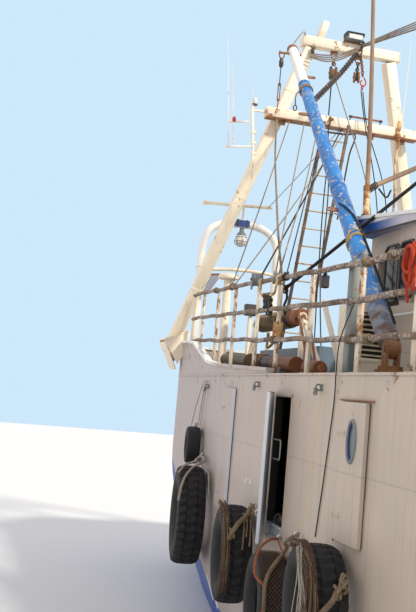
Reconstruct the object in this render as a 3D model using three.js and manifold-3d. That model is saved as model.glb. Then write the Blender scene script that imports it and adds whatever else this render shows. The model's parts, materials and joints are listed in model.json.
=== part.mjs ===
// Steel stern trawler, afloat. Units mm. +X bow, +Y port, +Z up, z = 0 at the waterline.
import * as THREE from 'three';
import Module from 'manifold-3d';
import { mergeVertices } from 'three/examples/jsm/utils/BufferGeometryUtils.js';

const wasm = await Module();
wasm.setup();

// Driving dimensions
const DECK_Z = 3700;
const SILL_Z = 1620;
const BOOT_Z = 300;
const DRAUGHT = 2200;
const SIDE_STRAIGHT_FROM = 1500;
const GAP = 0.3;
const RAIL_R = 30;
const BULWARK_T = 60;
const HOUSE = { x0: -2550, x1: 3600, half: 1750, z1: 5440, wall: 70 };
const ROOF = { aft: 40, fore: 420, z0: 5440 };
const LEG = { foot: [-9530, 2660, 4330], top: [-8150, 800, 10080], side: 220 };
const BEAM_2 = { z: 8710, half: 1560, side: 185 };
const BEAM_TOP = { x: -8130, z: 10150, half: 985, side: 190 };
const BOOM = { heel: [-560, -2350, 3975], tip: [-7420, -1390, 9640], r: 112 };
const NET_ROLLER = { x0: -6450, x1: -4350, y: -1930, z: 4570, core: 60, net: 140, end: 125 };

// Half breadths of the hull by station: x, at the deck, at the boot line, at the keel, keel z, deck z
const STATION_COLUMNS = ['x', 'deck', 'boot', 'low', 'keel', 'top'];
const STATIONS = [
  [-10950, 1250, 420, 60, 150, 3700],
  [-10850, 1650, 760, 90, 40, 3700],
  [-10550, 2080, 1080, 130, -90, 3700],
  [-10100, 2330, 1320, 180, -190, 3700],
  [-9500, 2480, 1560, 240, -300, 3700],
  [-8850, 2535, 1760, 280, -440, 3700],
  [-8450, 2560, 1870, 240, -900, 3700],
  [-7200, 2640, 2160, 400, -1500, 3700],
  [-5600, 2720, 2400, 560, -1850, 3700],
  [-4000, 2790, 2560, 720, -1930, 3700],
  [-2400, 2850, 2680, 860, -1980, 3700],
  [-800, 2910, 2760, 940, -2010, 3700],
  [800, 2950, 2800, 960, -2030, 3700],
  [2400, 2950, 2760, 900, -2050, 3700],
  [4000, 2900, 2600, 760, -2070, 3700],
  [5600, 2760, 2260, 560, -2090, 3850],
  [7000, 2520, 1780, 380, -2100, 4010],
  [8300, 2130, 1180, 220, -2080, 4200],
  [9400, 1620, 620, 110, -1900, 4390],
  [10200, 1080, 260, 50, -1200, 4550],
  [10700, 620, 90, 30, -300, 4650],
  [11000, 220, 40, 20, 700, 4710],
];

const MATERIALS = {
  hull: [0xb9aa98, 0.62, 0.1],
  antifoul: [0x24508f, 0.7, 0.0],
  cream: [0xe9dfca, 0.55, 0.1],
  white: [0xeeeeea, 0.5, 0.05],
  boomBlue: [0x2a63b0, 0.5, 0.15],
  fascia: [0x2f6fc0, 0.5, 0.05],
  rust: [0x7a4a32, 0.85, 0.2],
  rail: [0x8b6a58, 0.75, 0.25],
  rubber: [0x161617, 0.9, 0.0],
  grey: [0x7d8688, 0.6, 0.4],
  dark: [0x2b2d2f, 0.7, 0.3],
  net: [0x26332b, 0.95, 0.0],
  bronze: [0xa2773a, 0.4, 0.8],
  wood: [0xa8702f, 0.6, 0.0],
  panel: [0x6f8090, 0.6, 0.1],
};

const group = new THREE.Group();
group.name = 'fishing_trawler';
let branch = group;

// Opens a nested group; the pieces that follow belong to it
function startGroup(name) {
  branch = new THREE.Group();
  branch.name = name;
  group.add(branch);
}

function material(key) {
  const [color, roughness, metalness] = MATERIALS[key];
  return new THREE.MeshStandardMaterial({ color, roughness, metalness });
}

// Shape helpers
function toSolid(geometry) {
  const g = geometry.clone();
  g.deleteAttribute('normal');
  g.deleteAttribute('uv');
  const m = mergeVertices(g, 1e-3);
  const mesh = new wasm.Mesh({
    numProp: 3,
    vertProperties: new Float32Array(m.attributes.position.array),
    triVerts: new Uint32Array(m.index.array),
  });
  return new wasm.Manifold(mesh);
}

// Mesh of a solid, placed by its position: a turning point, or else the middle of its box
function addSolid(name, solid, key, at) {
  const { min, max } = solid.boundingBox();
  const origin = at || min.map((v, k) => Math.round((v + max[k]) / 2));
  const mesh = solid.translate(origin.map((v) => -v)).getMesh();
  const g = new THREE.BufferGeometry();
  const count = mesh.vertProperties.length / mesh.numProp;
  const pos = new Float32Array(count * 3);
  for (let i = 0; i < count; i++) {
    pos[3 * i] = mesh.vertProperties[mesh.numProp * i];
    pos[3 * i + 1] = mesh.vertProperties[mesh.numProp * i + 1];
    pos[3 * i + 2] = mesh.vertProperties[mesh.numProp * i + 2];
  }
  g.setAttribute('position', new THREE.BufferAttribute(pos, 3));
  g.setIndex(new THREE.BufferAttribute(new Uint32Array(mesh.triVerts), 1));
  g.computeVertexNormals();
  const out = new THREE.Mesh(g, material(key));
  out.name = name;
  out.position.set(...origin);
  branch.add(out);
  return solid;
}

function join(solids) {
  return wasm.Manifold.union(solids);
}

function box(x0, x1, y0, y1, z0, z1) {
  const g = new THREE.BoxGeometry(x1 - x0, y1 - y0, z1 - z0);
  return toSolid(g.translate((x0 + x1) / 2, (y0 + y1) / 2, (z0 + z1) / 2));
}

function placed(geometry, matrix) {
  return toSolid(geometry.clone().applyMatrix4(matrix));
}

// Upright oval plug along Y, centred
function oval(rx, rz, length) {
  return toSolid(new THREE.CylinderGeometry(1, 1, length, 20).scale(rx, 1, rz));
}

// Matrix that carries +Z onto the line from a to b, with its origin at the middle
function along(a, b, up) {
  const p = new THREE.Vector3(...a);
  const q = new THREE.Vector3(...b);
  const z = q.clone().sub(p).normalize();
  const side = new THREE.Vector3(...(up || (Math.abs(z.z) > 0.9 ? [1, 0, 0] : [0, 0, 1])));
  const x = side.clone().sub(z.clone().multiplyScalar(side.dot(z))).normalize();
  const y = z.clone().cross(x);
  const m = new THREE.Matrix4().makeBasis(x, y, z);
  m.setPosition(p.add(q).multiplyScalar(0.5));
  return m;
}

function distance(a, b) {
  return new THREE.Vector3(...a).distanceTo(new THREE.Vector3(...b));
}

function rod(a, b, r, sides = 8, r2 = r) {
  const g = new THREE.CylinderGeometry(r2, r, distance(a, b), sides);
  g.rotateX(Math.PI / 2);
  return placed(g, along(a, b));
}

function bar(a, b, width, depth, up) {
  return placed(new THREE.BoxGeometry(depth, width, distance(a, b)), along(a, b, up));
}

// Bent pipe through points, mitred where it turns
function pipe(points, r, sides = 6) {
  const pts = points.map((p) => new THREE.Vector3(...p));
  const rings = pts.map((p, i) => {
    const a = pts[Math.max(0, i - 1)];
    const b = pts[Math.min(pts.length - 1, i + 1)];
    const t = b.clone().sub(a).normalize();
    const ref = Math.abs(t.x) > 0.8 ? new THREE.Vector3(0, 0, 1) : new THREE.Vector3(1, 0, 0);
    const u = ref.clone().addScaledVector(t, -ref.dot(t)).normalize();
    const v = t.clone().cross(u);
    const ring = [];
    for (let k = 0; k < sides; k++) {
      const w = (k + 0.5) * (2 * Math.PI) / sides;
      ring.push(p.clone().addScaledVector(u, r * Math.cos(w)).addScaledVector(v, r * Math.sin(w)).toArray());
    }
    return ring;
  });
  return loft(rings);
}

// Moves a solid along a direction until it would touch what carries it, then back by one gap
function seat(solid, carrier, dir, reach = 100) {
  let clear = 0;
  let touching = reach;
  while (touching - clear > 0.02) {
    const mid = (clear + touching) / 2;
    const moved = solid.translate(dir.map((v) => v * mid));
    if (moved.intersect(carrier).isEmpty()) {
      clear = mid;
    } else {
      touching = mid;
    }
  }
  return solid.translate(dir.map((v) => v * (clear - GAP)));
}

// Solid of revolution about +Z; profile rows are radius, z, given up the outside
function turned(profile, sides = 16) {
  const pts = profile.map(([r, z]) => new THREE.Vector2(r, z));
  const g = new THREE.LatheGeometry(pts, sides);
  g.rotateX(Math.PI / 2);
  return toSolid(g);
}

// Closed skin through equal rings of points; flat ends may be hollow-sided, others are fanned
function loft(rings, flatEnds = false) {
  const n = rings[0].length;
  const pos = [];
  rings.forEach((ring) => ring.forEach((p) => pos.push(...p)));
  const index = [];
  for (let i = 0; i + 1 < rings.length; i++) {
    for (let j = 0; j < n; j++) {
      const k = (j + 1) % n;
      index.push(i * n + j, i * n + k, (i + 1) * n + j, i * n + k, (i + 1) * n + k, (i + 1) * n + j);
    }
  }
  const last = (rings.length - 1) * n;
  const fan = [];
  for (let j = 1; j + 1 < n; j++) {
    fan.push([0, j, j + 1]);
  }
  const cap = (ring) => THREE.ShapeUtils.triangulateShape(ring.map((p) => new THREE.Vector2(p[1], p[2])), []);
  const foot = flatEnds ? cap(rings[0]) : fan;
  const head = flatEnds ? cap(rings[rings.length - 1]) : fan;
  foot.forEach(([p, q, r]) => index.push(p, r, q));
  head.forEach(([p, q, r]) => index.push(last + p, last + q, last + r));
  const g = new THREE.BufferGeometry();
  g.setAttribute('position', new THREE.BufferAttribute(new Float32Array(pos), 3));
  g.setIndex(index);
  const solid = toSolid(g);
  if (solid.volume() > 0) {
    return solid;
  }
  const turnedOut = [];
  for (let i = 0; i < index.length; i += 3) {
    turnedOut.push(index[i], index[i + 2], index[i + 1]);
  }
  g.setIndex(turnedOut);
  return toSolid(g);
}

// Hull surface
const column = (row, name) => row[STATION_COLUMNS.indexOf(name)];

function station(x, name) {
  if (x <= STATIONS[0][0]) {
    return column(STATIONS[0], name);
  }
  for (let i = 0; i + 1 < STATIONS.length; i++) {
    const a = STATIONS[i];
    const b = STATIONS[i + 1];
    if (x <= b[0]) {
      const t = (x - a[0]) / (b[0] - a[0]);
      return column(a, name) * (1 - t) + column(b, name) * t;
    }
  }
  return column(STATIONS[STATIONS.length - 1], name);
}

// Half breadth at a height: wall-sided above, easing to the boot line, then rounding in to the keel
function breadth(x, z) {
  const deck = station(x, 'deck');
  const boot = station(x, 'boot');
  const low = station(x, 'low');
  const keel = station(x, 'keel');
  const straight = x > 4000 ? 3700 : SIDE_STRAIGHT_FROM + Math.max(0, -x - 6000) * 0.25;
  if (z >= straight) {
    return deck;
  }
  if (z >= 0) {
    const t = z / straight;
    return boot + (deck - boot) * (t * (2 - t));
  }
  const t = Math.min(1, z / Math.min(keel, -1));
  return low + (boot - low) * Math.pow(1 - t * t, 0.55);
}

const LEVELS = [1, 0.86, 0.62, 0.35, 0.12];
const SIDE_LEVELS = [0.5, 1];

function section(x) {
  const keel = station(x, 'keel');
  const top = station(x, 'top');
  const side = [];
  const zs = [];
  if (keel < 0) {
    LEVELS.forEach((k) => zs.push(keel * k));
    [0, 300, 750, 1500, 2300].forEach((z) => zs.push(z));
  } else {
    for (let i = 0; i < 10; i++) {
      zs.push(keel + (2300 - keel) * (i / 9));
    }
  }
  SIDE_LEVELS.forEach((k) => zs.push(2300 + (top - 2300) * k));
  zs.forEach((z) => side.push([x, breadth(x, z), z]));
  const ring = side.map(([a, y, z]) => [a, y, z]);
  side.slice().reverse().forEach(([a, y, z]) => ring.push([a, -y, z]));
  return ring;
}

startGroup('hull_and_shell_doors');

const hull = loft(STATIONS.map((row) => section(row[0])), true);

// Local frame of the starboard side: X forward along the plating, Y inboard
function sideFrame(x) {
  const dy = (breadth(x + 60, 2600) - breadth(x - 60, 2600)) / 120;
  const m = new THREE.Matrix4().makeRotationZ(-Math.atan(dy));
  m.setPosition(x, -breadth(x, 2600), 0);
  return m;
}

function shaped(solid, matrix) {
  return solid.transform(matrix.elements);
}

// Gunwale bar along each deck edge
function gunwaleBar(s) {
  const rows = STATIONS.filter((row) => row[0] >= -10100 && row[0] <= 10200).map((row) => {
    const top = column(row, 'top');
    return [row[0], s * (column(row, 'deck') - 8), top - 130, top - 50];
  });
  return strip(rows, s * 56);
}

const hullBarred = join([hull, gunwaleBar(1), gunwaleBar(-1)]);

// Doors on the hull side, hinged at their aft edge: name, x of centre, width, foot z, height, degrees open
const DOORS = [
  ['side_door_aft', -4720, 660, 1840, 1660, 0],
  ['side_door_open', -2160, 632, 1835, 1645, 21],
  ['side_door_fore', 30, 640, 2200, 1230, 0],
];
const LEAF = { inner: 12, thick: 34, hinge: 6 };
const KNUCKLE = { r: 15, length: 70, run: 0.5, notch: 22, from: 180, below: 320 };
const PORTHOLE = { z: 3085, off: 55, rx: 100, rz: 190, ring: 32, thick: 44, pane: 12 };

// Hinge on a wall whose outer face is local y = 0: fixed lugs, turning knuckles and the notch round the lugs
function hinge(x, levels) {
  const y = -LEAF.inner - LEAF.thick / 2;
  const post = (r, z0, z1) => rod([x, y, z0], [x, y, z1], r, 12);
  const lugs = [];
  const knuckles = [];
  const notches = [];
  levels.forEach((z) => {
    const z1 = z + KNUCKLE.length;
    lugs.push(post(KNUCKLE.r, z, z1), box(x - 8, x + 8, y, 0, z, z1));
    notches.push(post(KNUCKLE.notch, z - 6, z1 + KNUCKLE.run));
    knuckles.push(post(KNUCKLE.r, z1 + KNUCKLE.run, z1 + KNUCKLE.run + KNUCKLE.length));
  });
  return { lugs, knuckles, notches };
}

let topsides = hullBarred.trimByPlane([0, 0, 1], BOOT_Z);
const bottom = hull.trimByPlane([0, 0, -1], -(BOOT_Z - GAP));

DOORS.forEach(([name, x, width, foot, height, degrees]) => {
  const frame = sideFrame(x);
  const w = width / 2;
  const axis = [-w - LEAF.hinge, -LEAF.inner - LEAF.thick / 2];
  const h = hinge(axis[0], [foot + KNUCKLE.from, foot + height - KNUCKLE.below]);
  let leaf = box(-w, w, -LEAF.inner - LEAF.thick, -LEAF.inner, foot, foot + height);
  if (name === 'side_door_fore') {
    const hole = oval(PORTHOLE.rx + GAP, PORTHOLE.rz + GAP, 200);
    leaf = leaf.subtract(hole.translate([PORTHOLE.off, 0, PORTHOLE.z]));
  }
  leaf = leaf.translate([-axis[0], -axis[1], 0]).rotate([0, 0, -degrees]).translate([axis[0], axis[1], 0]);
  leaf = join([leaf.subtract(join(h.notches)), ...h.knuckles]);
  const lugs = h.lugs.map((lug) => shaped(lug.translate([0, 1, 0]), frame));
  topsides = join([topsides, ...lugs]);
  const at = new THREE.Vector3(axis[0], axis[1], foot + height / 2).applyMatrix4(frame);
  addSolid(name, shaped(leaf, frame), 'hull', at.toArray());
});

// Room behind the open doorway: a throat through the plating, with a washboard set back in its foot
const DOORWAY_SIDE = { half: 300, z0: 2000, z1: 3430, recess: 45, foot: 1870 };
const ROOM = { aft: -1500, fore: 870, plate: 90, depth: 2100, z0: 1870, z1: 3440 };
{
  const frame = sideFrame(-2160);
  const { half, z0, z1, recess, foot } = DOORWAY_SIDE;
  const room = box(ROOM.aft, ROOM.fore, ROOM.plate, ROOM.depth, ROOM.z0, ROOM.z1);
  const throat = box(-half, half, -300, ROOM.plate + 10, z0, z1);
  const step = box(-half, half, -300, recess, foot, z0 + 10);
  topsides = topsides.subtract(shaped(join([room, throat, step]), frame));
}

addSolid('hull_topsides', topsides, 'hull');
addSolid('hull_bottom', bottom, 'antifoul');

// Porthole in the fore side door: an oval ring and its pane
{
  const [, x] = DOORS[2];
  const { z, off, rx, rz, ring, thick, pane } = PORTHOLE;
  const mid = -LEAF.inner - LEAF.thick / 2;
  const rim = oval(rx, rz, thick).subtract(oval(rx - ring, rz - ring, 2 * thick));
  const glass = oval(rx - ring + 2, rz - ring + 2, pane);
  addSolid('porthole', shaped(join([rim, glass]).translate([off, mid, z]), sideFrame(x)), 'grey');
}

// Keel bar, skeg and stern frame around the propeller
const SHAFT_Z = -1050;
const PROP_X = -9050;
{
  const keelBar = join([
    box(-8400, 9300, -70, 70, -DRAUGHT - 60, -1700),
    box(-10150, -8300, -70, 70, -DRAUGHT - 60, -DRAUGHT + 60),
  ]);
  const clear = keelBar.subtract(hullBlank());
  const skeg = box(-8560, -6500, -90, 90, -DRAUGHT, -600).subtract(hullBlank());
  const boss = rod([PROP_X + 130.5, 0, SHAFT_Z], [-7700, 0, SHAFT_Z], 170, 12).subtract(hullBlank());
  let whole = join([clear, skeg, boss]);
  whole = whole.subtract(rod([-9000, 0, SHAFT_Z], [-8380, 0, SHAFT_Z], 62, 12));
  addSolid('keel', whole, 'antifoul');
}

function hullBlank() {
  return hull.translate([0, 0, -GAP]);
}

// Rudder and propeller
const RUDDER_X = -9900;

function bladeRing(dx, half, z0, z1) {
  const x = RUDDER_X + dx;
  return [[x, -half, z0], [x, half, z0], [x, half, z1], [x, -half, z1]];
}

{
  const blade = loft([
    bladeRing(240, 35, -2080, -500),
    bladeRing(-80, 70, -2080, -470),
    bladeRing(-740, 18, -2080, -430),
  ]);
  const stock = rod([RUDDER_X, 0, -520], [RUDDER_X, 0, -240], 55, 12);
  const pintle = rod([RUDDER_X, 0, -2000], [RUDDER_X, 0, -DRAUGHT + 60.5], 48, 12);
  addSolid('rudder', join([blade, stock, pintle]), 'antifoul', [RUDDER_X, 0, -1200]);
  const blades = [rod([PROP_X - 120, 0, SHAFT_Z], [PROP_X + 130, 0, SHAFT_Z], 120, 16)];
  for (let i = 0; i < 4; i++) {
    const g = new THREE.BoxGeometry(36, 320, 460);
    g.translate(0, 0, 320);
    const m = new THREE.Matrix4().makeRotationX((i * Math.PI) / 2);
    const twist = new THREE.Matrix4().makeRotationZ(0.7);
    blades.push(placed(g, m.multiply(twist)).translate([PROP_X, 0, SHAFT_Z]));
  }
  blades.push(rod([PROP_X + 120, 0, SHAFT_Z], [-8400, 0, SHAFT_Z], 55, 12));
  addSolid('propeller', join(blades), 'bronze', [PROP_X, 0, SHAFT_Z]);
}

// Strip along a plan line: rows are x, y, z low, z high; it is thick toward the centreline
function strip(rows, thick) {
  const rings = rows.map(([x, y, z0, z1], i) => {
    const a = rows[Math.max(0, i - 1)];
    const b = rows[Math.min(rows.length - 1, i + 1)];
    const d = new THREE.Vector2(b[0] - a[0], b[1] - a[1]).normalize();
    const n = [-d.y * thick, d.x * thick];
    return [[x, y, z0], [x, y, z1], [x + n[0], y + n[1], z1], [x + n[0], y + n[1], z0]];
  });
  return loft(rings);
}

// Stern bulwark: starts at deck height on each side and sweeps up round the stern
const BULWARK_RISE = [
  [-2900, 24],
  [-4600, 80],
  [-5900, 125],
  [-6600, 190],
  [-7400, 400],
  [-8000, 540],
  [-8700, 590],
  [-9500, 600],
  [-10100, 600],
  [-10550, 600],
  [-10850, 600],
  [-10950, 600],
];

function bulwarkRows(low, high, out) {
  const side = BULWARK_RISE.map(([x, h]) => {
    return [x, -(station(x, 'deck') + out), DECK_Z + low(h), DECK_Z + high(h)];
  });
  const other = side.slice().reverse().map(([x, y, a, b]) => [x, -y, a, b]);
  return side.concat(other);
}

addSolid('stern_bulwark', strip(bulwarkRows(() => GAP, (h) => h, 0), -BULWARK_T), 'hull');
const capRows = bulwarkRows((h) => h + GAP, (h) => h + 45, 30);
addSolid('stern_bulwark_cap', strip(capRows, -(BULWARK_T + 50)), 'white');

// Bow bulwark
const BOW_ROWS = [
  [4600, 160],
  [5600, 620],
  [7000, 780],
  [8300, 860],
  [9400, 930],
  [10200, 990],
  [10700, 1020],
];

function bowRows(low, high, out) {
  const side = BOW_ROWS.map(([x, h]) => {
    const top = station(x, 'top');
    return [x, station(x, 'deck') + out, top + low(h), top + high(h)];
  });
  const stem = [11000, 0, station(11000, 'top') + low(1030), station(11000, 'top') + high(1030)];
  const other = side.slice().reverse().map(([x, y, a, b]) => [x, -y, a, b]);
  return side.concat([stem], other);
}

addSolid('bow_bulwark', join([
  strip(bowRows(() => GAP, (h) => h + 10, 0), -BULWARK_T),
  strip(bowRows((h) => h, (h) => h + 45, 30), -(BULWARK_T + 60)),
]).subtract(hull.translate([0, 0, GAP])), 'hull');

startGroup('railings');

// Railing along each deck edge: three pipes outside flat stanchions; they climb toward the stern
const RAIL_XS = [-9080, -8200, -6870, -5600, -4200, -3170, -1900, -420, 800, 2400, 3900];
const RAIL_LEVELS = {
  low: { height: 310, climb: 0.038 },
  middle: { height: 680, climb: 0.043 },
  top: { height: 1030, climb: 0.054 },
};
const RAIL_IN = 160;
const RAIL_POST = { x: -700, width: 130, depth: 120, over: 60 };
const STANCHION = { width: 90, depth: 34 };

const railHeight = (x, { height, climb }) => height + climb * Math.max(0, -x);

function railPoint(x, h, s, out = 0) {
  return [x, s * (station(x, 'deck') - RAIL_IN + out), Math.max(station(x + 60, 'top'), DECK_Z) + h];
}

function railPipe(level, s, out) {
  return pipe(RAIL_XS.map((x) => railPoint(x, railHeight(x, level), s, out)), RAIL_R);
}

['port', 'starboard'].forEach((side, i) => {
  const s = 1 - 2 * i;
  const { width, depth } = STANCHION;
  const out = depth / 2 + RAIL_R;
  const parts = RAIL_XS.map((x) => {
    const head = railPoint(x, railHeight(x, RAIL_LEVELS.top) + RAIL_R, s);
    return bar(railPoint(x, GAP, s), head, width, depth, [0, 1, 0]);
  });
  const { x } = RAIL_POST;
  const inset = (depth - RAIL_POST.depth) / 2;
  const head = railPoint(x, railHeight(x, RAIL_LEVELS.top) + RAIL_POST.over, s, inset);
  parts.push(bar(railPoint(x, GAP, s, inset), head, RAIL_POST.width, RAIL_POST.depth, [0, 1, 0]));
  parts.push(railPipe(RAIL_LEVELS.low, s, out - 6));
  const stanchions = join(parts);
  addSolid(`railing_${side}`, stanchions, 'cream');
  ['middle', 'top'].forEach((level) => {
    const loose = railPipe(RAIL_LEVELS[level], s, out + 10);
    addSolid(`rail_${level}_${side}`, seat(loose, stanchions, [0, -s, 0]), 'rail');
  });
});

startGroup('gantry');

// Stern gantry: two leaning legs, a wide lower beam before them and a boxed top beam on them
function legPoint(z, s) {
  const t = (LEG.top[2] - z) / (LEG.top[2] - LEG.foot[2]);
  const x = LEG.top[0] + (LEG.foot[0] - LEG.top[0]) * t;
  const y = LEG.top[1] + (LEG.foot[1] - LEG.top[1]) * t;
  return [x, s * y, z];
}

function secondBeam(grow) {
  const h = BEAM_2.side / 2;
  const lean = Math.atan2(LEG.top[0] - LEG.foot[0], LEG.top[2] - LEG.foot[2]);
  const x = legPoint(BEAM_2.z + h, 1)[0] + LEG.side / 2 / Math.cos(lean) + h - 2;
  const g = h + grow;
  return box(x - g, x + g, -BEAM_2.half, BEAM_2.half, BEAM_2.z - g, BEAM_2.z + g);
}

function leg(s) {
  const a = legPoint(LEG.foot[2] + 20, s);
  const b = legPoint(BEAM_TOP.z + 200, s);
  const head = BEAM_TOP.z - BEAM_TOP.side / 2 - GAP;
  const shaft = bar(a, b, LEG.side, LEG.side, [1, 0, 0]).trimByPlane([0, 0, -1], -head);
  const bracketRing = (x, xFoot) => [
    [x, s * 2400, 4560],
    [x, s * 2860, 4360],
    [x, s * 2860, 4300],
    [xFoot, s * 2400, 3670],
  ];
  const bracket = loft([bracketRing(a[0] - 280, a[0] - 200), bracketRing(a[0] + 280, a[0] + 200)]);
  return join([shaft, bracket]).subtract(join([sternBlank(s), secondBeam(GAP)]));
}

function sternBlank(s) {
  const wall = strip(bulwarkRows(() => -30, (h) => h + 45 + GAP, 36), -(BULWARK_T + 72));
  const inboard = box(-10400, -8800, s > 0 ? -100 : -2440, s > 0 ? 2440 : 100, 3000, 4360);
  return join([wall, hullBarred.translate([0, s * GAP, 0]), inboard]);
}

addSolid('gantry_leg_starboard', leg(-1), 'cream');
addSolid('gantry_leg_port', leg(1), 'cream');

addSolid('gantry_second_beam', secondBeam(0), 'cream');
{
  const h = BEAM_TOP.side / 2;
  const z = BEAM_TOP.z;
  const beam = box(BEAM_TOP.x - h, BEAM_TOP.x + h, -BEAM_TOP.half, BEAM_TOP.half, z - h, z + h);
  const stub = bar([BEAM_TOP.x, -640, z + h - 10], [BEAM_TOP.x + 60, -560, z + h + 330], 130, 130);
  addSolid('gantry_top_beam', join([beam, stub]), 'cream');
}

// Ladder up the gantry, its head resting on the second beam
{
  const top = [-7950, -240, 8620];
  const foot = [-9100, -450, DECK_Z];
  const half = 245;
  const parts = [];
  [-half, half].forEach((dy) => {
    const low = [foot[0], foot[1] + dy, foot[2]];
    parts.push(bar(low, [top[0], top[1] + dy, top[2]], 40, 60, [1, 0, 0]));
  });
  const rungs = 15;
  for (let i = 1; i < rungs; i++) {
    const t = i / rungs;
    const p = foot.map((v, k) => v + (top[k] - v) * t);
    parts.push(rod([p[0], p[1] - half, p[2]], [p[0], p[1] + half, p[2]], 17, 6));
  }
  const ladder = join(parts).trimByPlane([0, 0, 1], DECK_Z + GAP);
  addSolid('gantry_ladder', seat(ladder, secondBeam(0), [-1, 0, 0], 400), 'dark');
}

// Floodlight on the top beam, and two blocks that hang under it
const BEAM_FRONT = BEAM_TOP.x + BEAM_TOP.side / 2;
{
  const z = BEAM_TOP.z + BEAM_TOP.side / 2 + GAP;
  const body = box(BEAM_FRONT - 20, BEAM_FRONT + 150, -170, 170, z + 10, z + 170);
  const foot = box(BEAM_FRONT - 110, BEAM_FRONT - 10, -50, 50, z, z + 120);
  addSolid('floodlight', join([body, foot]), 'dark');
}
const BLOCK = { r: 75, half: 38, lug: 160, tall: 200, pin: 22 };
[-330, 170].forEach((y, i) => {
  const top = BEAM_TOP.z - BEAM_TOP.side / 2 - GAP;
  const z1 = top - BLOCK.lug - BLOCK.r;
  const z0 = z1 - BLOCK.tall;
  const cheek = (z) => rod([BEAM_TOP.x - BLOCK.half, y, z], [BEAM_TOP.x + BLOCK.half, y, z], BLOCK.r, 14);
  const plate = box(BEAM_TOP.x - BLOCK.half, BEAM_TOP.x + BLOCK.half, y - BLOCK.r, y + BLOCK.r, z0, z1);
  const lug = rod([BEAM_TOP.x, y, z1], [BEAM_TOP.x, y, top], BLOCK.pin, 8);
  addSolid(`trawl_block_${i + 1}`, join([lug, cheek(z0), cheek(z1), plate]), 'rust');
});

// Derrick boom on its heel fitting
const HEEL = new THREE.Vector3(...BOOM.heel);
const TIP = new THREE.Vector3(...BOOM.tip);
const BOOM_DIR = TIP.clone().sub(HEEL).normalize();
const BOOM_LEN = HEEL.distanceTo(TIP);
const BOOM_SIDE = new THREE.Vector3(0, 0, 1).cross(BOOM_DIR).normalize();
const NOSE = 620;
const EYE_R = 95;
const EYE_HALF = 44.5;
const CHEEK = { at: 58, half: 13, r: 90 };
const HEEL_UP = 205;
const boomAt = (d) => HEEL.clone().addScaledVector(BOOM_DIR, d).toArray();
const besideHeel = (d) => HEEL.clone().addScaledVector(BOOM_SIDE, d).toArray();
const heelPin = (half, r, sides = 12) => rod(besideHeel(-half), besideHeel(half), r, sides);

// Pad-eyes on the boom: distance from the heel, side they stand out to
const PAD_EYES = [
  [1900, 1],
  [5600, 1],
  [7000, -1],
  [8300, 1],
];
{
  const s = BOOM_SIDE.toArray();
  const parts = [
    rod(boomAt(150), boomAt(BOOM_LEN - NOSE), BOOM.r, 16, BOOM.r * 0.82),
    rod(boomAt(BOOM_LEN - NOSE), boomAt(BOOM_LEN), BOOM.r * 0.8, 16, BOOM.r * 0.66),
    heelPin(EYE_HALF, EYE_R),
    bar(boomAt(0), boomAt(200), 150, 76, s),
    rod(boomAt(BOOM_LEN - 60), boomAt(BOOM_LEN + 40), BOOM.r * 0.9, 12),
  ];
  PAD_EYES.forEach(([d, side]) => {
    const p = boomAt(d);
    parts.push(bar(p, [p[0], p[1] - side * 185, p[2] + 20], 90, 26, BOOM_DIR.toArray()));
  });
  addSolid('boom', join(parts).subtract(heelPin(EYE_R, 40)), 'boomBlue', BOOM.heel);
  const fork = [];
  [-CHEEK.at, CHEEK.at].forEach((o) => {
    const c = besideHeel(o);
    fork.push(rod(besideHeel(o - CHEEK.half), besideHeel(o + CHEEK.half), CHEEK.r, 12));
    fork.push(bar(c, [c[0], c[1], HEEL.z - HEEL_UP], 150, 2 * CHEEK.half, s));
  });
  const z = HEEL.z - HEEL_UP;
  const base = rod([HEEL.x, HEEL.y, z], [HEEL.x, HEEL.y, z + 40], 120, 16);
  addSolid('boom_heel', join([...fork, heelPin(84, 34), base]), 'rust');
  addSolid('boom_pedestal', rod([HEEL.x, HEEL.y, DECK_Z + GAP], [HEEL.x, HEEL.y, z - GAP], 150, 16), 'cream');
}

startGroup('deckhouse');

// Deckhouse: four walls round an open room, with window and door openings
const WINDOWS_SIDE = [
  [-2020, 620],
  [-1120, 620],
  [1500, 700],
  [2600, 700],
];
const WINDOWS_FRONT = [-1170, -390, 390, 1170];
const SILL_WINDOW = 4560;
const WINDOW_H = 560;
const HOUSE_Z0 = DECK_Z + GAP;
const DOORWAY = { x0: 60, x1: 800, z0: DECK_Z + 120, z1: 5380 };

function houseHinge() {
  return hinge(DOORWAY.x1 + 20 + LEAF.hinge, [DOORWAY.z0 + 150, DOORWAY.z1 - 300]);
}

function house() {
  const { x0, x1, half, z1, wall } = HOUSE;
  const sideWall = (s) => {
    let w = box(x0, x1, s > 0 ? half - wall : -half, s > 0 ? half : -half + wall, HOUSE_Z0, z1);
    WINDOWS_SIDE.forEach(([x, width]) => {
      const y = s * half;
      const w2 = width / 2;
    const cut = box(x - w2, x + w2, y - 200, y + 200, SILL_WINDOW, SILL_WINDOW + WINDOW_H);
      w = w.subtract(cut);
    });
    if (s < 0) {
      w = w.subtract(box(DOORWAY.x0, DOORWAY.x1, -half - 200, -half + 200, DOORWAY.z0, DOORWAY.z1));
    }
    return w;
  };
  const lugs = houseHinge().lugs.map((lug) => lug.translate([0, -half + 1, 0]));
  addSolid('house_starboard', join([sideWall(-1), ...lugs]), 'hull');
  addSolid('house_port', sideWall(1), 'hull');
  const inner = half - wall - GAP;
  let front = box(x1 - wall, x1, -inner, inner, HOUSE_Z0, z1);
  WINDOWS_FRONT.forEach((y) => {
    const z = SILL_WINDOW;
    front = front.subtract(box(x1 - 300, x1 + 300, y - 310, y + 310, z, z + WINDOW_H + 60));
  });
  addSolid('house_front', front, 'hull');
  let aft = box(x0, x0 + wall, -inner, inner, HOUSE_Z0, z1);
  aft = aft.subtract(box(x0 - 300, x0 + 300, -350, 350, SILL_WINDOW, SILL_WINDOW + 420));
  addSolid('house_aft', aft, 'hull');
}

house();

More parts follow.
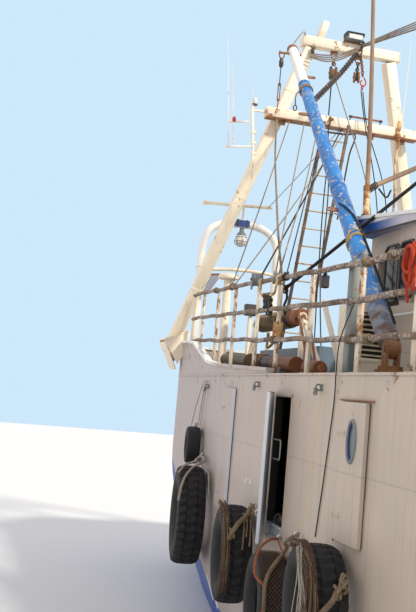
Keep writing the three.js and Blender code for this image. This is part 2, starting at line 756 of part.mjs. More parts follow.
// Roof: wide and deep at its after edge, drawing in and thinning forward; rows are x, half breadth, top
const ROOF_ROWS = [
  [HOUSE.x0 - ROOF.aft, 1940, 5690],
  [-1300, 1800, 5570],
  [HOUSE.x1 + ROOF.fore, 1800, 5560],
];
const roof = loft(ROOF_ROWS.map(([x, y, z]) => {
  const z0 = ROOF.z0 + GAP;
  return [[x, -y, z0], [x, y, z0], [x, y, z], [x, -y, z]];
}));
addSolid('house_roof', roof, 'fascia');

// Side door of the deckhouse, hinged at its forward edge
{
  const { x0, x1, z0, z1 } = DOORWAY;
  const out = [0, -HOUSE.half, 0];
  const leaf = box(x0 - 20, x1 + 20, -LEAF.inner - LEAF.thick, -LEAF.inner, z0 - 20, z1 + 20);
  const h = houseHinge();
  const door = join([leaf.subtract(join(h.notches)), ...h.knuckles]).translate(out);
  const pin = [x1 + 20 + LEAF.hinge, -HOUSE.half - LEAF.inner - LEAF.thick / 2, (z0 + z1) / 2];
  addSolid('house_door', door, 'wood', pin);
}

// Ventilation trunk beside the deckhouse, with louvres in its forward face
{
  const x = [-2400, -1960];
  const y = [-2175, -HOUSE.half - GAP];
  const z = [DECK_Z + GAP, 4560];
  const mouth = { z0: 3950, z1: 4470, rim: 26 };
  const slats = 9;
  const pitch = (mouth.z1 - mouth.z0) / slats;
  const cavity = box(x[1] - 60, x[1] + 50, y[0] + mouth.rim, y[1] - mouth.rim, mouth.z0, mouth.z1);
  const parts = [box(x[0], x[1], y[0], y[1], z[0], z[1]).subtract(cavity)];
  for (let i = 0; i < slats; i++) {
    const zc = mouth.z0 + (i + 0.5) * pitch;
    parts.push(bar([x[1] - 32, y[0] + 10, zc], [x[1] - 32, y[1] - 10, zc], 62, 10, [0.8, 0, -0.6]));
  }
  addSolid('louvre_casing', join(parts), 'cream');
}

// Pole at the roof corner, and the mast with its radar
{
  const pole = { x: -2450, y: -1900, lean: -240, height: 4300, r: 28 };
  const { x, y, r } = pole;
  const z = ROOF_ROWS[0][2] + 60;
  const stick = rod([x, y, z - 200], [x + pole.lean, y, z + pole.height], r, 10, r * 0.7);
  addSolid('roof_pole', seat(stick.trimByPlane([0, 0, 1], z), roof, [0, 0, -1]), 'wood');
  const mast = { x: 1500, height: 2500, arms: 1700, half: 620, plinth: 180, run: 0.5 };
  const foot = ROOF_ROWS[2][2];
  const top = foot + mast.height;
  const head = top + mast.plinth;
  const upright = join([
    rod([mast.x, 0, foot + 20], [mast.x, 0, top], 80, 12, 55),
    bar([mast.x, -mast.half, foot + mast.arms], [mast.x, mast.half, foot + mast.arms], 60, 60),
    box(mast.x - 120, mast.x + 120, -120, 120, top - 30, top + 10),
    rod([mast.x, 0, top], [mast.x, 0, head], 100, 14),
  ]);
  const stepped = seat(upright, roof, [0, 0, -1]);
  addSolid('roof_mast', stepped, 'white');
  const bearing = stepped.boundingBox().max[2];
  const neck = rod([mast.x, 0, bearing + mast.run], [mast.x, 0, bearing + 20], 55, 12);
  const scanner = box(mast.x - 45, mast.x + 45, -mast.half, mast.half, bearing + 10, bearing + 110);
  addSolid('radar_scanner', join([scanner, neck]), 'white', [mast.x, 0, bearing]);
}

// Arch with its hanging lamp over the stern
{
  const arc = { x: -9900, y0: -2150, y1: -580, spring: 6170, rise: 690, r: 78, bends: 12, power: 0.72 };
  const { x, y0, y1, rise, r, bends, power } = arc;
  const zs = arc.spring;
  const zf = DECK_Z + GAP;
  const pts = [[x, y0, zf], [x, y0, zs]];
  const cy = (y0 + y1) / 2;
  const ry = (y1 - y0) / 2;
  // A superellipse: its corners are fuller than a circle's
  for (let i = 1; i < bends; i++) {
    const a = Math.PI - (i * Math.PI) / bends;
    const across = Math.sign(Math.cos(a)) * Math.abs(Math.cos(a)) ** power;
    pts.push([x, cy + ry * across, zs + rise * Math.sin(a) ** power]);
  }
  pts.push([x, y1, zs], [x, y1, zf]);
  const flat = box(x - 40, x + 40, cy - 40, cy + 40, zs + rise - r - 20, zs + rise - r + 8);
  const arch = pipe(pts, r, 8).subtract(flat);
  addSolid('lamp_arch', arch, 'white');
  const shade = [[0, -330], [150, -330], [165, -260], [60, -140], [26, -130], [26, 0], [0, 0]];
  const lamp = turned(shade, 14).translate([x, cy, zs + rise - r - 60]);
  addSolid('arch_lamp', seat(lamp, arch, [0, 0, 1]), 'grey');
}

startGroup('deck_gear');

// Net roller: a fore-and-aft barrel with the net wound on it, on two pairs of struts inside the railing
{
  const { x0, x1, y, z, core, net, end } = NET_ROLLER;
  const run = 0.5;
  const bearing = { r: 62, half: 32, bore: 34, pin: 30 };
  const feet = DECK_Z + GAP;
  addSolid('net_roller', join([
    rod([x0 + run, y, z], [x1 - run, y, z], core, 12),
    rod([x0 - 90, y, z], [x1 + 90, y, z], bearing.pin, 12),
    rod([x0 + 250, y, z], [x1 - 420, y, z], net, 16),
    rod([x1 - 300, y, z], [x1 - 20, y, z], end, 16),
  ]), 'net', [(x0 + x1) / 2, y, z]);
  const stand = (x, lean) => {
    const struts = lean.map((d) => bar([x, y, z], [x + d, y, feet - 60], 70, 60, [0, 1, 0]));
    const bore = rod([x - 200, y, z], [x + 200, y, z], bearing.bore, 12);
    const hub = rod([x - bearing.half, y, z], [x + bearing.half, y, z], bearing.r, 16);
    const sill = box(x + Math.min(...lean) - 40, x + Math.max(...lean) + 40, y - 60, y + 60, feet, feet + 50);
    const s = Math.sign(lean[1]);
    const whole = join([hub, ...struts, sill]).subtract(bore).trimByPlane([0, 0, 1], feet);
    return whole.trimByPlane([s, 0, 0], s * x - bearing.half);
  };
  const off = bearing.half;
  addSolid('roller_stand_aft', stand(x0 - off, [-420, -40]), 'cream');
  addSolid('roller_stand_fore', stand(x1 + off, [40, 1000]), 'cream');
}

// Trawl winch on the centreline: two barrels between flanges on one shaft
{
  const { x, up, half, run } = { x: -4300, up: 560, half: 820, run: 0.5 };
  const z = DECK_Z + up;
  const foot = DECK_Z + 100;
  const cheek = (y0, y1) => box(x - 160, x + 160, y0, y1, foot, z + 120);
  addSolid('winch_bed', join([
    box(x - 420, x + 420, -half - 60, half + 60, DECK_Z + GAP, foot + 10),
    box(x - 260, x + 260, -60, 60, foot, z + 260),
    cheek(-half - 60, -half + 20),
    cheek(half - 20, half + 60),
  ]).subtract(rod([x, -half - 200, z], [x, half + 200, z], 58, 16)), 'grey');
  const barrel = [rod([x, -half - 90, z], [x, half + 90, z], 50, 12)];
  [-1, 1].forEach((s) => {
    const inner = s * 80;
    const outer = s * (half - 40);
    barrel.push(rod([x, s * (half - 60), z], [x, s * (half - 20 - run), z], 75, 12));
    barrel.push(rod([x, inner, z], [x, outer, z], 190, 16));
    barrel.push(rod([x, inner, z], [x, inner + s * 24, z], 360, 20));
    barrel.push(rod([x, outer - s * 24, z], [x, outer, z], 360, 20));
  });
  addSolid('winch_drums', join(barrel), 'rust', [x, 0, z]);
}

// Stowed roller pipe by the starboard edge, on two saddles
{
  const a = [-7250, -2180, DECK_Z + 290];
  const b = [-3300, -2330, DECK_Z + 150];
  const mid = (t) => a.map((v, k) => v + (b[k] - v) * t);
  const parts = [rod(a, b, 105, 14), rod(mid(0.4), mid(0.66), 126, 14)];
  [0.1, 0.88].forEach((t) => {
    const p = mid(t);
    parts.push(box(p[0] - 70, p[0] + 70, p[1] - 110, p[1] + 110, DECK_Z + GAP, p[2] - 20));
  });
  addSolid('stowed_roller', join(parts), 'grey');
}

// Raised fish-hold casing with its hatch and lid
{
  const casing = { x0: -7850, x1: -4950, half: 1400, height: 530 };
  const hatch = { x: -5650, half: 420, wide: 460, lip: 80, thick: 50 };
  const top = DECK_Z + casing.height;
  const mouth = [hatch.x - hatch.half, hatch.x + hatch.half, -hatch.wide, hatch.wide];
  addSolid('hatch_coaming', box(casing.x0, casing.x1, -casing.half, casing.half, DECK_Z + GAP, top)
    .subtract(box(...mouth, DECK_Z + 40, top + 10)), 'panel');
  const { x, half, wide, lip, thick } = hatch;
  const lid = box(x - half - lip, x + half + lip, -wide - lip, wide + lip, top + 0.5, top + thick);
  addSolid('hatch_lid', lid, 'panel', [x + half + lip + 6, 0, top + thick / 2]);
}

// Mushroom vent on the after deck
{
  const { x, y, h, r } = { x: -8050, y: -2050, h: 1870, r: 190 };
  const profile = [[0, 0], [75, 0], [75, h - 110], [r, h - 110], [r * 0.96, h - 60], [r * 0.5, h], [0, h]];
  addSolid('vent_1', seat(turned(profile, 14).translate([x, y, DECK_Z + 6]), hull, [0, 0, -1]), 'cream');
}

// Windlass on the foredeck, and mooring bitts
{
  const x = 8000;
  const z = station(x + 300, 'top') + 8;
  addSolid('windlass', seat(join([
    box(x - 260, x + 260, -330, 330, z, z + 220),
    rod([x, -560, z + 330], [x, 560, z + 330], 120, 14),
    rod([x, -560, z + 330], [x, -500, z + 330], 190, 14),
    rod([x, 500, z + 330], [x, 560, z + 330], 190, 14),
    box(x - 180, x + 180, -260, 260, z + 200, z + 480),
  ]), hull, [0, 0, -1]), 'dark');
}
[[-8600, 1700], [9000, 0]].forEach(([x, y], i) => {
  const z = station(x + 260, 'top') + 6;
  addSolid(`bitts_${i + 1}`, seat(join([
    box(x - 260, x + 260, y - 120, y + 120, z, z + 30),
    rod([x - 150, y, z + 20], [x - 150, y, z + 430], 75, 12),
    rod([x + 150, y, z + 20], [x + 150, y, z + 430], 75, 12),
  ]), hull, [0, 0, -1]), 'dark');
});

startGroup('fenders');

// Tyre fenders against the sides, hanging turned so that their forward edge stands off
const TYRE_TURN = 5;

// x, z of centre, outer radius, width
const TYRES_STARBOARD = [
  [-6560, 2560, 300, 220],
  [-5860, 1570, 740, 420],
  [-3120, 1510, 590, 360],
  [-1570, 1315, 510, 340],
  [-80, 1660, 520, 380],
];
const TYRES_PORT = [
  [-4200, 1400, 620, 310],
  [-500, 1400, 620, 310],
];

function tyre(name, [x, z, r, w], s) {
  const k = w / 2;
  const profile = [
    [r * 0.52, -k * 0.55], [r * 0.6, -k * 0.86], [r * 0.82, -k], [r * 0.94, -k * 0.82],
    [r, -k * 0.5], [r, k * 0.5], [r * 0.94, k * 0.82], [r * 0.82, k], [r * 0.6, k * 0.86],
    [r * 0.52, k * 0.55], [r * 0.52, -k * 0.55],
  ];
  const yTop = breadth(x, Math.min(3000, z + r * 0.8));
  const slope = (breadth(x + 300, 1500) - breadth(x - 300, 1500)) / 600;
  const yaw = ((Math.atan(slope) * 180) / Math.PI + TYRE_TURN) * s;
  const solid = turned(profile, 16).rotate([90, 0, 0]).rotate([0, 0, yaw]);
  const standOff = r * Math.sin((TYRE_TURN * Math.PI) / 180);
  const hung = solid.translate([x, s * (yTop + k + standOff + 60), z]);
  addSolid(name, seat(hung, hullBarred, [0, -s, 0], w), 'rubber');
}

TYRES_STARBOARD.forEach((row, i) => tyre(`tyre_starboard_${i + 1}`, row, -1));
TYRES_PORT.forEach((row, i) => tyre(`tyre_port_${i + 1}`, row, 1));

export default group;
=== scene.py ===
import json
import math

import bpy
import numpy as np
from mathutils import Matrix, Vector


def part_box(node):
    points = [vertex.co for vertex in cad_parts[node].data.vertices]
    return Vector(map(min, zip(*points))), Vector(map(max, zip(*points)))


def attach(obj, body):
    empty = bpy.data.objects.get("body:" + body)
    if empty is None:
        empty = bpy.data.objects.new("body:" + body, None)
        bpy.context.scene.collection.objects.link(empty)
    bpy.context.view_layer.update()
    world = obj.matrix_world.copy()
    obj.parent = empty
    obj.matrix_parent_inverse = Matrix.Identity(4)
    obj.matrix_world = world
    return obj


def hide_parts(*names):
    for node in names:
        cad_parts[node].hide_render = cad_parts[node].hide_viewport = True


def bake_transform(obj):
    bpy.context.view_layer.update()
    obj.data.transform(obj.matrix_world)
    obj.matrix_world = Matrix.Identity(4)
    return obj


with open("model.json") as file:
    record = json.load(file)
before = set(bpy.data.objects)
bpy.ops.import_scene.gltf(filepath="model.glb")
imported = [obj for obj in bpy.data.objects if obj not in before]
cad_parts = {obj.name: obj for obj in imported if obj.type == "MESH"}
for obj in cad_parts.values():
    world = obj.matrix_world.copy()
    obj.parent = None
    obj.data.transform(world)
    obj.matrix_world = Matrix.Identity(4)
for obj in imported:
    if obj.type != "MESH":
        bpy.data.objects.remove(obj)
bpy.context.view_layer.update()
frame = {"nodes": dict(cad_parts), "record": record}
scene = bpy.context.scene

# Camera: a standing eye beside the foredeck, looking aft along the starboard side
EYE = (7.5, -6.2, 3.4)
HEADING, PITCH, ROLL = math.radians(13.8), math.radians(5.5), math.radians(5.0)
FOCAL_PX = 900.0
PHOTO_W = 416.0
SENSOR_MM = 36.0


def aim_camera():
    """Camera axes: forward is -X turned by the heading toward port and raised by the pitch; the roll turns
    the other two about it."""
    level_part = math.cos(PITCH)
    forward = Vector((-math.cos(HEADING) * level_part, math.sin(HEADING) * level_part, math.sin(PITCH)))
    level = forward.cross(Vector((0, 0, 1))).normalized()
    upright = level.cross(forward)
    right = math.cos(ROLL) * level + math.sin(ROLL) * upright
    up = -math.sin(ROLL) * level + math.cos(ROLL) * upright
    data = bpy.data.cameras.new("eye")
    data.sensor_fit = "HORIZONTAL"
    data.sensor_width = SENSOR_MM
    data.lens = FOCAL_PX / PHOTO_W * SENSOR_MM
    data.clip_end = 400.0
    eye = bpy.data.objects.new("eye", data)
    turn = Matrix((right, up, -forward)).transposed().to_4x4()
    eye.matrix_world = Matrix.Translation(EYE) @ turn
    scene.collection.objects.link(eye)
    scene.camera = eye


aim_camera()


# Finishes
class Finish:
    """One material, its node tree and short calls for the nodes used here."""

    def __init__(self, name, roughness=0.6):
        self.mat = bpy.data.materials.new(name)
        self.mat.use_nodes = True
        self.tree = self.mat.node_tree
        self.shader = self.tree.nodes["Principled BSDF"]
        self.shader.inputs["Roughness"].default_value = roughness
        self.place = self.tree.nodes.new("ShaderNodeTexCoord").outputs["Object"]

    def feed(self, value, socket):
        """Links another node's output to a socket, or sets its number, vector or colour."""
        if isinstance(value, bpy.types.NodeSocket):
            self.tree.links.new(value, socket)
        else:
            socket.default_value = (*value, 1.0) if socket.type == "RGBA" else value

    def node(self, kind, feeds, **settings):
        """A new node with its settings, fed at the named or numbered inputs."""
        made = self.tree.nodes.new(kind)
        for key, value in settings.items():
            setattr(made, key, value)
        for key, value in feeds.items():
            self.feed(value, made.inputs[key])
        return made

    def noise(self, scale, detail=4.0, rough=0.55, stretch=None):
        """Noise on the object position, which a stretch scales along each axis first."""
        place = self.place
        if stretch:
            place = self.node("ShaderNodeMapping", {"Scale": stretch, "Vector": place}).outputs["Vector"]
        feeds = {"Scale": scale, "Detail": detail, "Roughness": rough, "Vector": place}
        return self.node("ShaderNodeTexNoise", feeds).outputs["Fac"]

    def wave(self, scale, direction, distort, detail):
        """Bent bands on the object position."""
        feeds = {"Scale": scale, "Distortion": distort, "Detail": detail, "Vector": self.place}
        return self.node("ShaderNodeTexWave", feeds, bands_direction=direction).outputs["Fac"]

    def band(self, value, low, high):
        """0 below low, 1 above high, eased between; falls instead where low is above high."""
        falls = low > high
        feeds = {"Value": value, "From Min": min(low, high), "From Max": max(low, high),
                 "To Min": float(falls), "To Max": float(not falls)}
        return self.node("ShaderNodeMapRange", feeds, interpolation_type="SMOOTHSTEP").outputs["Result"]

    def sums(self, operation, first, second=0.0):
        """One step of arithmetic on two values, each a number or a socket."""
        return self.node("ShaderNodeMath", {0: first, 1: second}, operation=operation).outputs[0]

    def times(self, *values):
        """Product of the values."""
        out = values[0]
        for value in values[1:]:
            out = self.sums("MULTIPLY", out, value)
        return out

    def axis(self, letter):
        """The object position's X, Y or Z."""
        return self.node("ShaderNodeSeparateXYZ", {0: self.place}).outputs[letter]

    def line(self, value, pitch, offset, width):
        """1 on thin lines that repeat every pitch along a value."""
        moved = self.sums("ADD", value, pitch * 1000.5 - offset)
        gap = self.sums("ABSOLUTE", self.sums("SUBTRACT", self.sums("MODULO", moved, pitch), pitch / 2))
        return self.band(gap, width, width * 0.4)

    def mix(self, share, first, second):
        """The first colour, going over to the second as share goes from 0 to 1."""
        made = self.node("ShaderNodeMix", {"Factor": share}, data_type="RGBA")
        for value, socket in zip((first, second), [s for s in made.inputs if s.type == "RGBA"]):
            self.feed(value, socket)
        return next(s for s in made.outputs if s.type == "RGBA")

    def colour(self, out):
        """Base colour, plain or worked out by nodes."""
        self.feed(out, self.shader.inputs["Base Color"])

    def gloss(self, share, low, high):
        """Roughness from low to high as share goes from 0 to 1."""
        made = self.node("ShaderNodeMapRange", {"Value": share, "To Min": low, "To Max": high})
        self.feed(made.outputs["Result"], self.shader.inputs["Roughness"])

    def relief(self, height, distance, strength=1.0):
        """Bumps as high as the height value times the distance."""
        made = self.node("ShaderNodeBump", {"Height": height, "Distance": distance, "Strength": strength})
        self.feed(made.outputs["Normal"], self.shader.inputs["Normal"])


RUST_DARK = (0.16, 0.062, 0.026)
RUST_LIGHT = (0.42, 0.19, 0.075)


def painted(name, body, shade, rust, streak=1.0, roughness=0.5):
    """Sea-worn paint: two close tints in patches, dirt drawn down in streaks, rust where a noise passes a
    level."""
    f = Finish(name, roughness)
    patch = f.noise(1.3, 5.0)
    run = f.noise(1.0, 3.0, stretch=(9.0, 9.0, 0.55))
    grain = f.noise(38.0, 4.0)
    base = f.mix(f.band(patch, 0.35, 0.7), body, shade)
    base = f.mix(f.times(f.band(run, 0.5, 0.75), 0.35 * streak), base, tuple(0.55 * c for c in body))
    spots = f.noise(7.0, 8.0, 0.7)
    bloom = f.noise(1.7, 3.0)
    eaten = f.band(f.sums("ADD", spots, f.times(bloom, 0.5)), 0.93 - 0.25 * rust, 1.0 - 0.2 * rust)
    drip = f.band(f.noise(1.0, 4.0, 0.6, stretch=(16.0, 16.0, 0.8)), 0.66 - 0.1 * rust, 0.8)
    base = f.mix(f.times(drip, 0.45 * rust), base, RUST_LIGHT)
    rusty = f.mix(grain, RUST_DARK, RUST_LIGHT)
    f.colour(f.mix(eaten, base, rusty))
    f.gloss(eaten, roughness, 0.9)
    f.relief(f.sums("SUBTRACT", f.times(grain, 0.2), eaten), 0.002, 0.6)
    return f.mat


def hull_side():
    """Beige plating drawn lilac toward the stern, a painted tint of sky light on the shaded side; weld seams
    on a frame pitch, fine dirt drawn down, rust below the deck edge, grime low down."""
    f = Finish("hull_side_paint", 0.55)
    x = f.axis("X")
    z = f.axis("Z")
    # painted sky light: this share draws the shaded side lilac aft and beige forward
    warm = f.band(x, -9.0, 1.0)
    base = f.mix(warm, (0.44, 0.385, 0.375), (0.55, 0.455, 0.36))
    base = f.mix(f.times(f.band(f.noise(0.9, 5.0), 0.35, 0.7), 0.6), base, (0.46, 0.385, 0.335))
    fine = f.noise(1.0, 4.0, 0.6, stretch=(26.0, 26.0, 0.7))
    wide = f.noise(1.0, 3.0, 0.5, stretch=(5.0, 5.0, 0.35))
    base = f.mix(f.times(f.band(fine, 0.48, 0.78), 0.4), base, (0.33, 0.26, 0.21))
    base = f.mix(f.times(f.band(wide, 0.5, 0.8), 0.35), base, (0.38, 0.33, 0.32))
    seam = f.sums("MAXIMUM", f.line(x, 1.5, 0.2, 0.012), f.line(z, 1.22, 0.36, 0.010))
    base = f.mix(f.times(seam, 0.25), base, (0.20, 0.16, 0.14))
    spots = f.noise(5.0, 8.0, 0.72)
    high = f.band(z, 2.9, 3.7)
    low = f.band(z, 1.3, 0.2)
    amount = f.sums("ADD", f.times(high, 0.12), f.times(low, 0.1))
    eaten = f.band(f.sums("ADD", spots, amount), 0.70, 0.76)
    drips = f.band(f.noise(1.0, 5.0, 0.65, stretch=(13.0, 13.0, 0.5)), 0.64, 0.76)
    base = f.mix(f.times(drips, f.sums("ADD", f.times(high, 0.5), 0.16)), base, (0.30, 0.16, 0.08))
    base = f.mix(f.times(low, 0.3), base, (0.24, 0.20, 0.18))
    base = f.mix(f.times(eaten, 0.8), base, (0.22, 0.10, 0.05))
    # yellow run from a scupper, leaning aft as it falls, and the swept-up edge of the bottom paint
    run = f.sums("ABSOLUTE", f.sums("ADD", f.sums("ADD", x, 1.65), f.times(z, -0.219)))
    side = f.band(f.axis("Y"), -2.0, -2.4)
    base = f.mix(f.times(f.band(run, 0.035, 0.006), side, 0.55), base, (0.62, 0.42, 0.16))
    line = f.sums("ADD", f.times(f.sums("MAXIMUM", f.sums("ADD", f.times(x, -1.0), -5.0), 0.0), 0.39), 0.42)
    over = f.sums("SUBTRACT", line, f.sums("ADD", z, f.times(f.noise(4.0, 4.0), 0.05)))
    blue = f.mix(f.band(f.noise(6.0, 6.0), 0.4, 0.65), (0.012, 0.05, 0.26), (0.05, 0.14, 0.42))
    base = f.mix(f.band(over, 0.0, 0.012), base, blue)
    f.colour(base)
    f.gloss(eaten, 0.5, 0.85)
    hollow = f.noise(1.4, 2.0)
    f.relief(f.sums("ADD", f.times(hollow, 1.0), f.times(seam, 0.06)), 0.02, 0.5)
    return f.mat


def tyre_rubber():
    """Near-black rubber gone grey on the outside, with dust in patches."""
    f = Finish("tyre_rubber", 0.75)
    worn = f.noise(6.0, 6.0, 0.6)
    base = f.mix(f.band(worn, 0.4, 0.75), (0.006, 0.006, 0.007), (0.022, 0.021, 0.021))
    f.colour(f.mix(f.times(f.band(f.noise(2.0, 4.0), 0.5, 0.8), 0.35), base, (0.05, 0.04, 0.032)))
    f.gloss(worn, 0.55, 0.95)
    f.relief(f.noise(60.0, 3.0), 0.002, 0.5)
    return f.mat


def twine(name, dark, light, pitch):
    """Laid rope or knotted net: fine crossing waves over a mottled colour."""
    f = Finish(name, 0.95)
    lay = f.wave(pitch, "DIAGONAL", 4.0, 3.0)
    cross = f.wave(pitch * 0.7, "Y", 5.0, 2.0)
    mottle = f.noise(9.0, 5.0, 0.65)
    base = f.mix(f.band(f.sums("ADD", f.times(lay, 0.5), f.times(mottle, 0.7)), 0.35, 0.85), dark, light)
    f.colour(base)
    f.relief(f.sums("ADD", lay, cross), 0.006, 0.8)
    return f.mat


def window_glass():
    """Dark tinted panes with a sky sheen and dried spray."""
    f = Finish("window_glass", 0.12)
    salt = f.noise(24.0, 6.0, 0.7)
    f.colour(f.mix(f.band(salt, 0.5, 0.9), (0.012, 0.016, 0.022), (0.06, 0.07, 0.08)))
    f.gloss(f.band(salt, 0.45, 0.85), 0.06, 0.4)
    return f.mat


def boom_side():
    """Blue paint flaked through in two sizes: a pale layer where a stretched noise passes a level, rust
    inside that; the lower end is bare metal, where the height plus a noise is under about 5 m."""
    f = Finish("boom_paint", 0.45)
    along = f.noise(1.0, 4.0, stretch=(3.0, 6.0, 3.0))
    base = f.mix(f.band(along, 0.35, 0.65), (0.002, 0.115, 0.40), (0.010, 0.21, 0.56))
    flake = f.noise(9.0, 7.0, 0.72, stretch=(1.0, 1.6, 0.8))
    small = f.noise(24.0, 5.0, 0.7)
    pale = f.band(f.sums("ADD", f.times(flake, 0.75), f.times(small, 0.3)), 0.565, 0.60)
    bare = f.band(f.sums("ADD", f.times(flake, 0.8), f.times(f.noise(4.0, 4.0), 0.3)), 0.64, 0.67)
    base = f.mix(f.times(pale, 0.85), base, (0.62, 0.55, 0.40))
    base = f.mix(f.times(bare, 0.75), base, (0.42, 0.26, 0.13))
    low = f.band(f.sums("ADD", f.axis("Z"), f.times(f.noise(2.2, 5.0), 1.1)), 5.25, 4.85)
    metal = f.mix(f.band(f.noise(7.0, 7.0, 0.7), 0.42, 0.6), (0.30, 0.31, 0.32), (0.16, 0.10, 0.07))
    f.colour(f.mix(low, base, metal))
    f.gloss(f.sums("MAXIMUM", pale, low), 0.42, 0.85)
    f.relief(f.sums("SUBTRACT", f.times(small, 0.3), pale), 0.003, 0.7)
    return f.mat


def bottom_side():
    """Bottom paint: deep blue along the boot line, chalky where scraped, with growth toward the keel."""
    f = Finish("bottom_paint", 0.6)
    base = f.mix(f.band(f.noise(1.1, 6.0), 0.35, 0.7), (0.012, 0.05, 0.26), (0.03, 0.10, 0.38))
    scrape = f.band(f.noise(1.0, 6.0, 0.7, stretch=(1.2, 1.2, 7.0)), 0.56, 0.70)
    base = f.mix(f.times(scrape, 0.55), base, (0.45, 0.50, 0.60))
    growth = f.band(f.sums("ADD", f.axis("Z"), f.times(f.noise(3.0, 5.0), 1.2)), 0.3, -0.9)
    base = f.mix(f.times(growth, 0.7), base, (0.05, 0.06, 0.035))
    f.colour(base)
    f.gloss(growth, 0.5, 0.9)
    f.relief(f.noise(22.0, 6.0, 0.7), 0.006, 0.5)
    return f.mat


def roof_edge():
    """Deck-blue at the after corner, gone lilac-white further forward; brushed streaks and a dusty top."""
    f = Finish("fascia_paint", 0.4)
    x = f.sums("ADD", f.axis("X"), f.times(f.noise(2.0, 3.0), 0.35))
    base = f.mix(f.band(x, -2.05, -1.25), (0.006, 0.075, 0.30), (0.55, 0.53, 0.58))
    streak = f.noise(1.0, 4.0, stretch=(0.8, 0.8, 16.0))
    base = f.mix(f.times(f.band(streak, 0.45, 0.7), 0.35), base, (0.70, 0.69, 0.72))
    top = f.band(f.axis("Z"), 5.555, 5.575)
    aft = f.band(f.axis("X"), -2.0, -2.6)
    base = f.mix(f.times(top, f.sums("SUBTRACT", 1.0, aft)), base, (0.74, 0.72, 0.68))
    f.colour(base)
    f.gloss(streak, 0.3, 0.7)
    f.relief(f.noise(30.0, 4.0), 0.001, 0.4)
    return f.mat


def cap_edge():
    """White on the raised stern part of the cap, gone to the side's beige forward of it, chipped along the
    edge."""
    f = Finish("cap_paint", 0.5)
    x = f.sums("ADD", f.axis("X"), f.times(f.noise(1.6, 4.0), 0.8))
    base = f.mix(f.band(x, -6.0, -5.3), (0.84, 0.84, 0.81), (0.46, 0.40, 0.36))
    worn = f.band(f.noise(9.0, 7.0, 0.7), 0.52, 0.64)
    base = f.mix(f.times(worn, 0.5), base, (0.34, 0.24, 0.17))
    f.colour(base)
    f.gloss(worn, 0.45, 0.85)
    f.relief(worn, 0.002, 0.5)
    return f.mat


def rail_pipe():
    """Pipe gone from paint to rust: grey and cream crusts over brown, rings of wear round it, deep pits."""
    f = Finish("rail_paint", 0.8)
    ring = f.noise(1.0, 5.0, 0.7, stretch=(5.0, 3.0, 3.0))
    spot = f.noise(26.0, 6.0, 0.75)
    base = f.mix(f.band(ring, 0.30, 0.72), (0.085, 0.052, 0.034), (0.24, 0.165, 0.115))
    crust = f.band(f.sums("ADD", spot, f.times(f.noise(3.0, 5.0), 0.5)), 0.74, 0.86)
    base = f.mix(f.times(crust, 0.8), base, (0.52, 0.46, 0.40))
    base = f.mix(f.times(f.band(f.noise(5.0, 5.0), 0.55, 0.7), 0.7), base, (0.38, 0.20, 0.09))
    f.colour(base)
    f.relief(f.sums("ADD", spot, ring), 0.006, 0.9)
    return f.mat


# Paints: material name, body, second tint, rust; then streaks and roughness where they differ
PAINTS = {
    "cream": ("cream_paint", (0.90, 0.80, 0.62), (0.80, 0.70, 0.55), 0.3),
    "white": ("white_paint", (0.86, 0.85, 0.81), (0.76, 0.75, 0.73), 0.1),
    "rust": ("rusted_iron", (0.20, 0.09, 0.045), (0.28, 0.13, 0.06), 0.9),
    "grey_paint": ("grey_paint", (0.20, 0.22, 0.22), (0.16, 0.19, 0.18), 0.4),
    "dark_steel": ("dark_iron", (0.03, 0.03, 0.034), (0.05, 0.045, 0.04), 0.4),
    "bronze": ("propeller_bronze", (0.36, 0.22, 0.08), (0.28, 0.18, 0.08), 0.0),
    "varnish": ("varnished_wood", (0.40, 0.21, 0.07), (0.30, 0.15, 0.05), 0.0),
    "panel": ("panel_paint", (0.16, 0.22, 0.29), (0.13, 0.18, 0.25), 0.1),
    "deck_green": ("deck_paint", (0.10, 0.17, 0.14), (0.14, 0.20, 0.17), 0.5),
    # dark_room: near-black painted shade for the lobby and the louvre's opening
    "dark_room": ("lobby_painted_shade", (0.016, 0.015, 0.014), (0.03, 0.027, 0.024), 0.0),
    # pale_edge: blue-white; its blue cast is partly painted sky light on white paint in shade, and on the
    # leaves' free edges it paints the edge's highlight
    "pale_edge": ("pale_edge_paint", (0.66, 0.74, 0.84), (0.78, 0.80, 0.82), 0.1),
    "gold_brown": ("gilt_rust_paint", (0.62, 0.36, 0.12), (0.78, 0.60, 0.34), 0.8),
    "wire": ("tarred_wire", (0.035, 0.030, 0.028), (0.10, 0.075, 0.055), 0.5),
    "window_frame": ("window_frame_paint", (0.10, 0.085, 0.08), (0.16, 0.13, 0.12), 0.3),
    "lamp_glass": ("lamp_glass", (0.84, 0.80, 0.72), (0.72, 0.70, 0.66), 0.0, 1.0, 0.15),
    "ladder": ("ladder_paint", (0.055, 0.040, 0.030), (0.12, 0.085, 0.06), 0.7),
    "lamp_red": ("lamp_red", (0.55, 0.03, 0.02), (0.45, 0.03, 0.02), 0.0),
    "hood": ("hood_paint", (0.012, 0.018, 0.05), (0.03, 0.035, 0.06), 0.1),
    "mossy": ("mossy_iron", (0.075, 0.085, 0.06), (0.13, 0.12, 0.085), 0.5),
    "cable": ("cable_sheath", (0.20, 0.165, 0.14), (0.34, 0.29, 0.25), 0.3),
    "rung": ("rung_paint", (0.48, 0.40, 0.28), (0.36, 0.26, 0.16), 0.5),
    "chain": ("chain_iron", (0.022, 0.018, 0.016), (0.06, 0.04, 0.03), 0.5),
    "rust_wet": ("wet_rust", (0.17, 0.045, 0.018), (0.30, 0.10, 0.035), 0.6),
    "spar_wood": ("spar_wood", (0.20, 0.13, 0.085), (0.33, 0.22, 0.13), 0.5),
    "post_paint": ("post_paint", (0.86, 0.78, 0.62), (0.62, 0.47, 0.33), 0.75, 1.8),
    "lamp_blue": ("lamp_blue", (0.006, 0.035, 0.17), (0.012, 0.06, 0.26), 0.1),
}
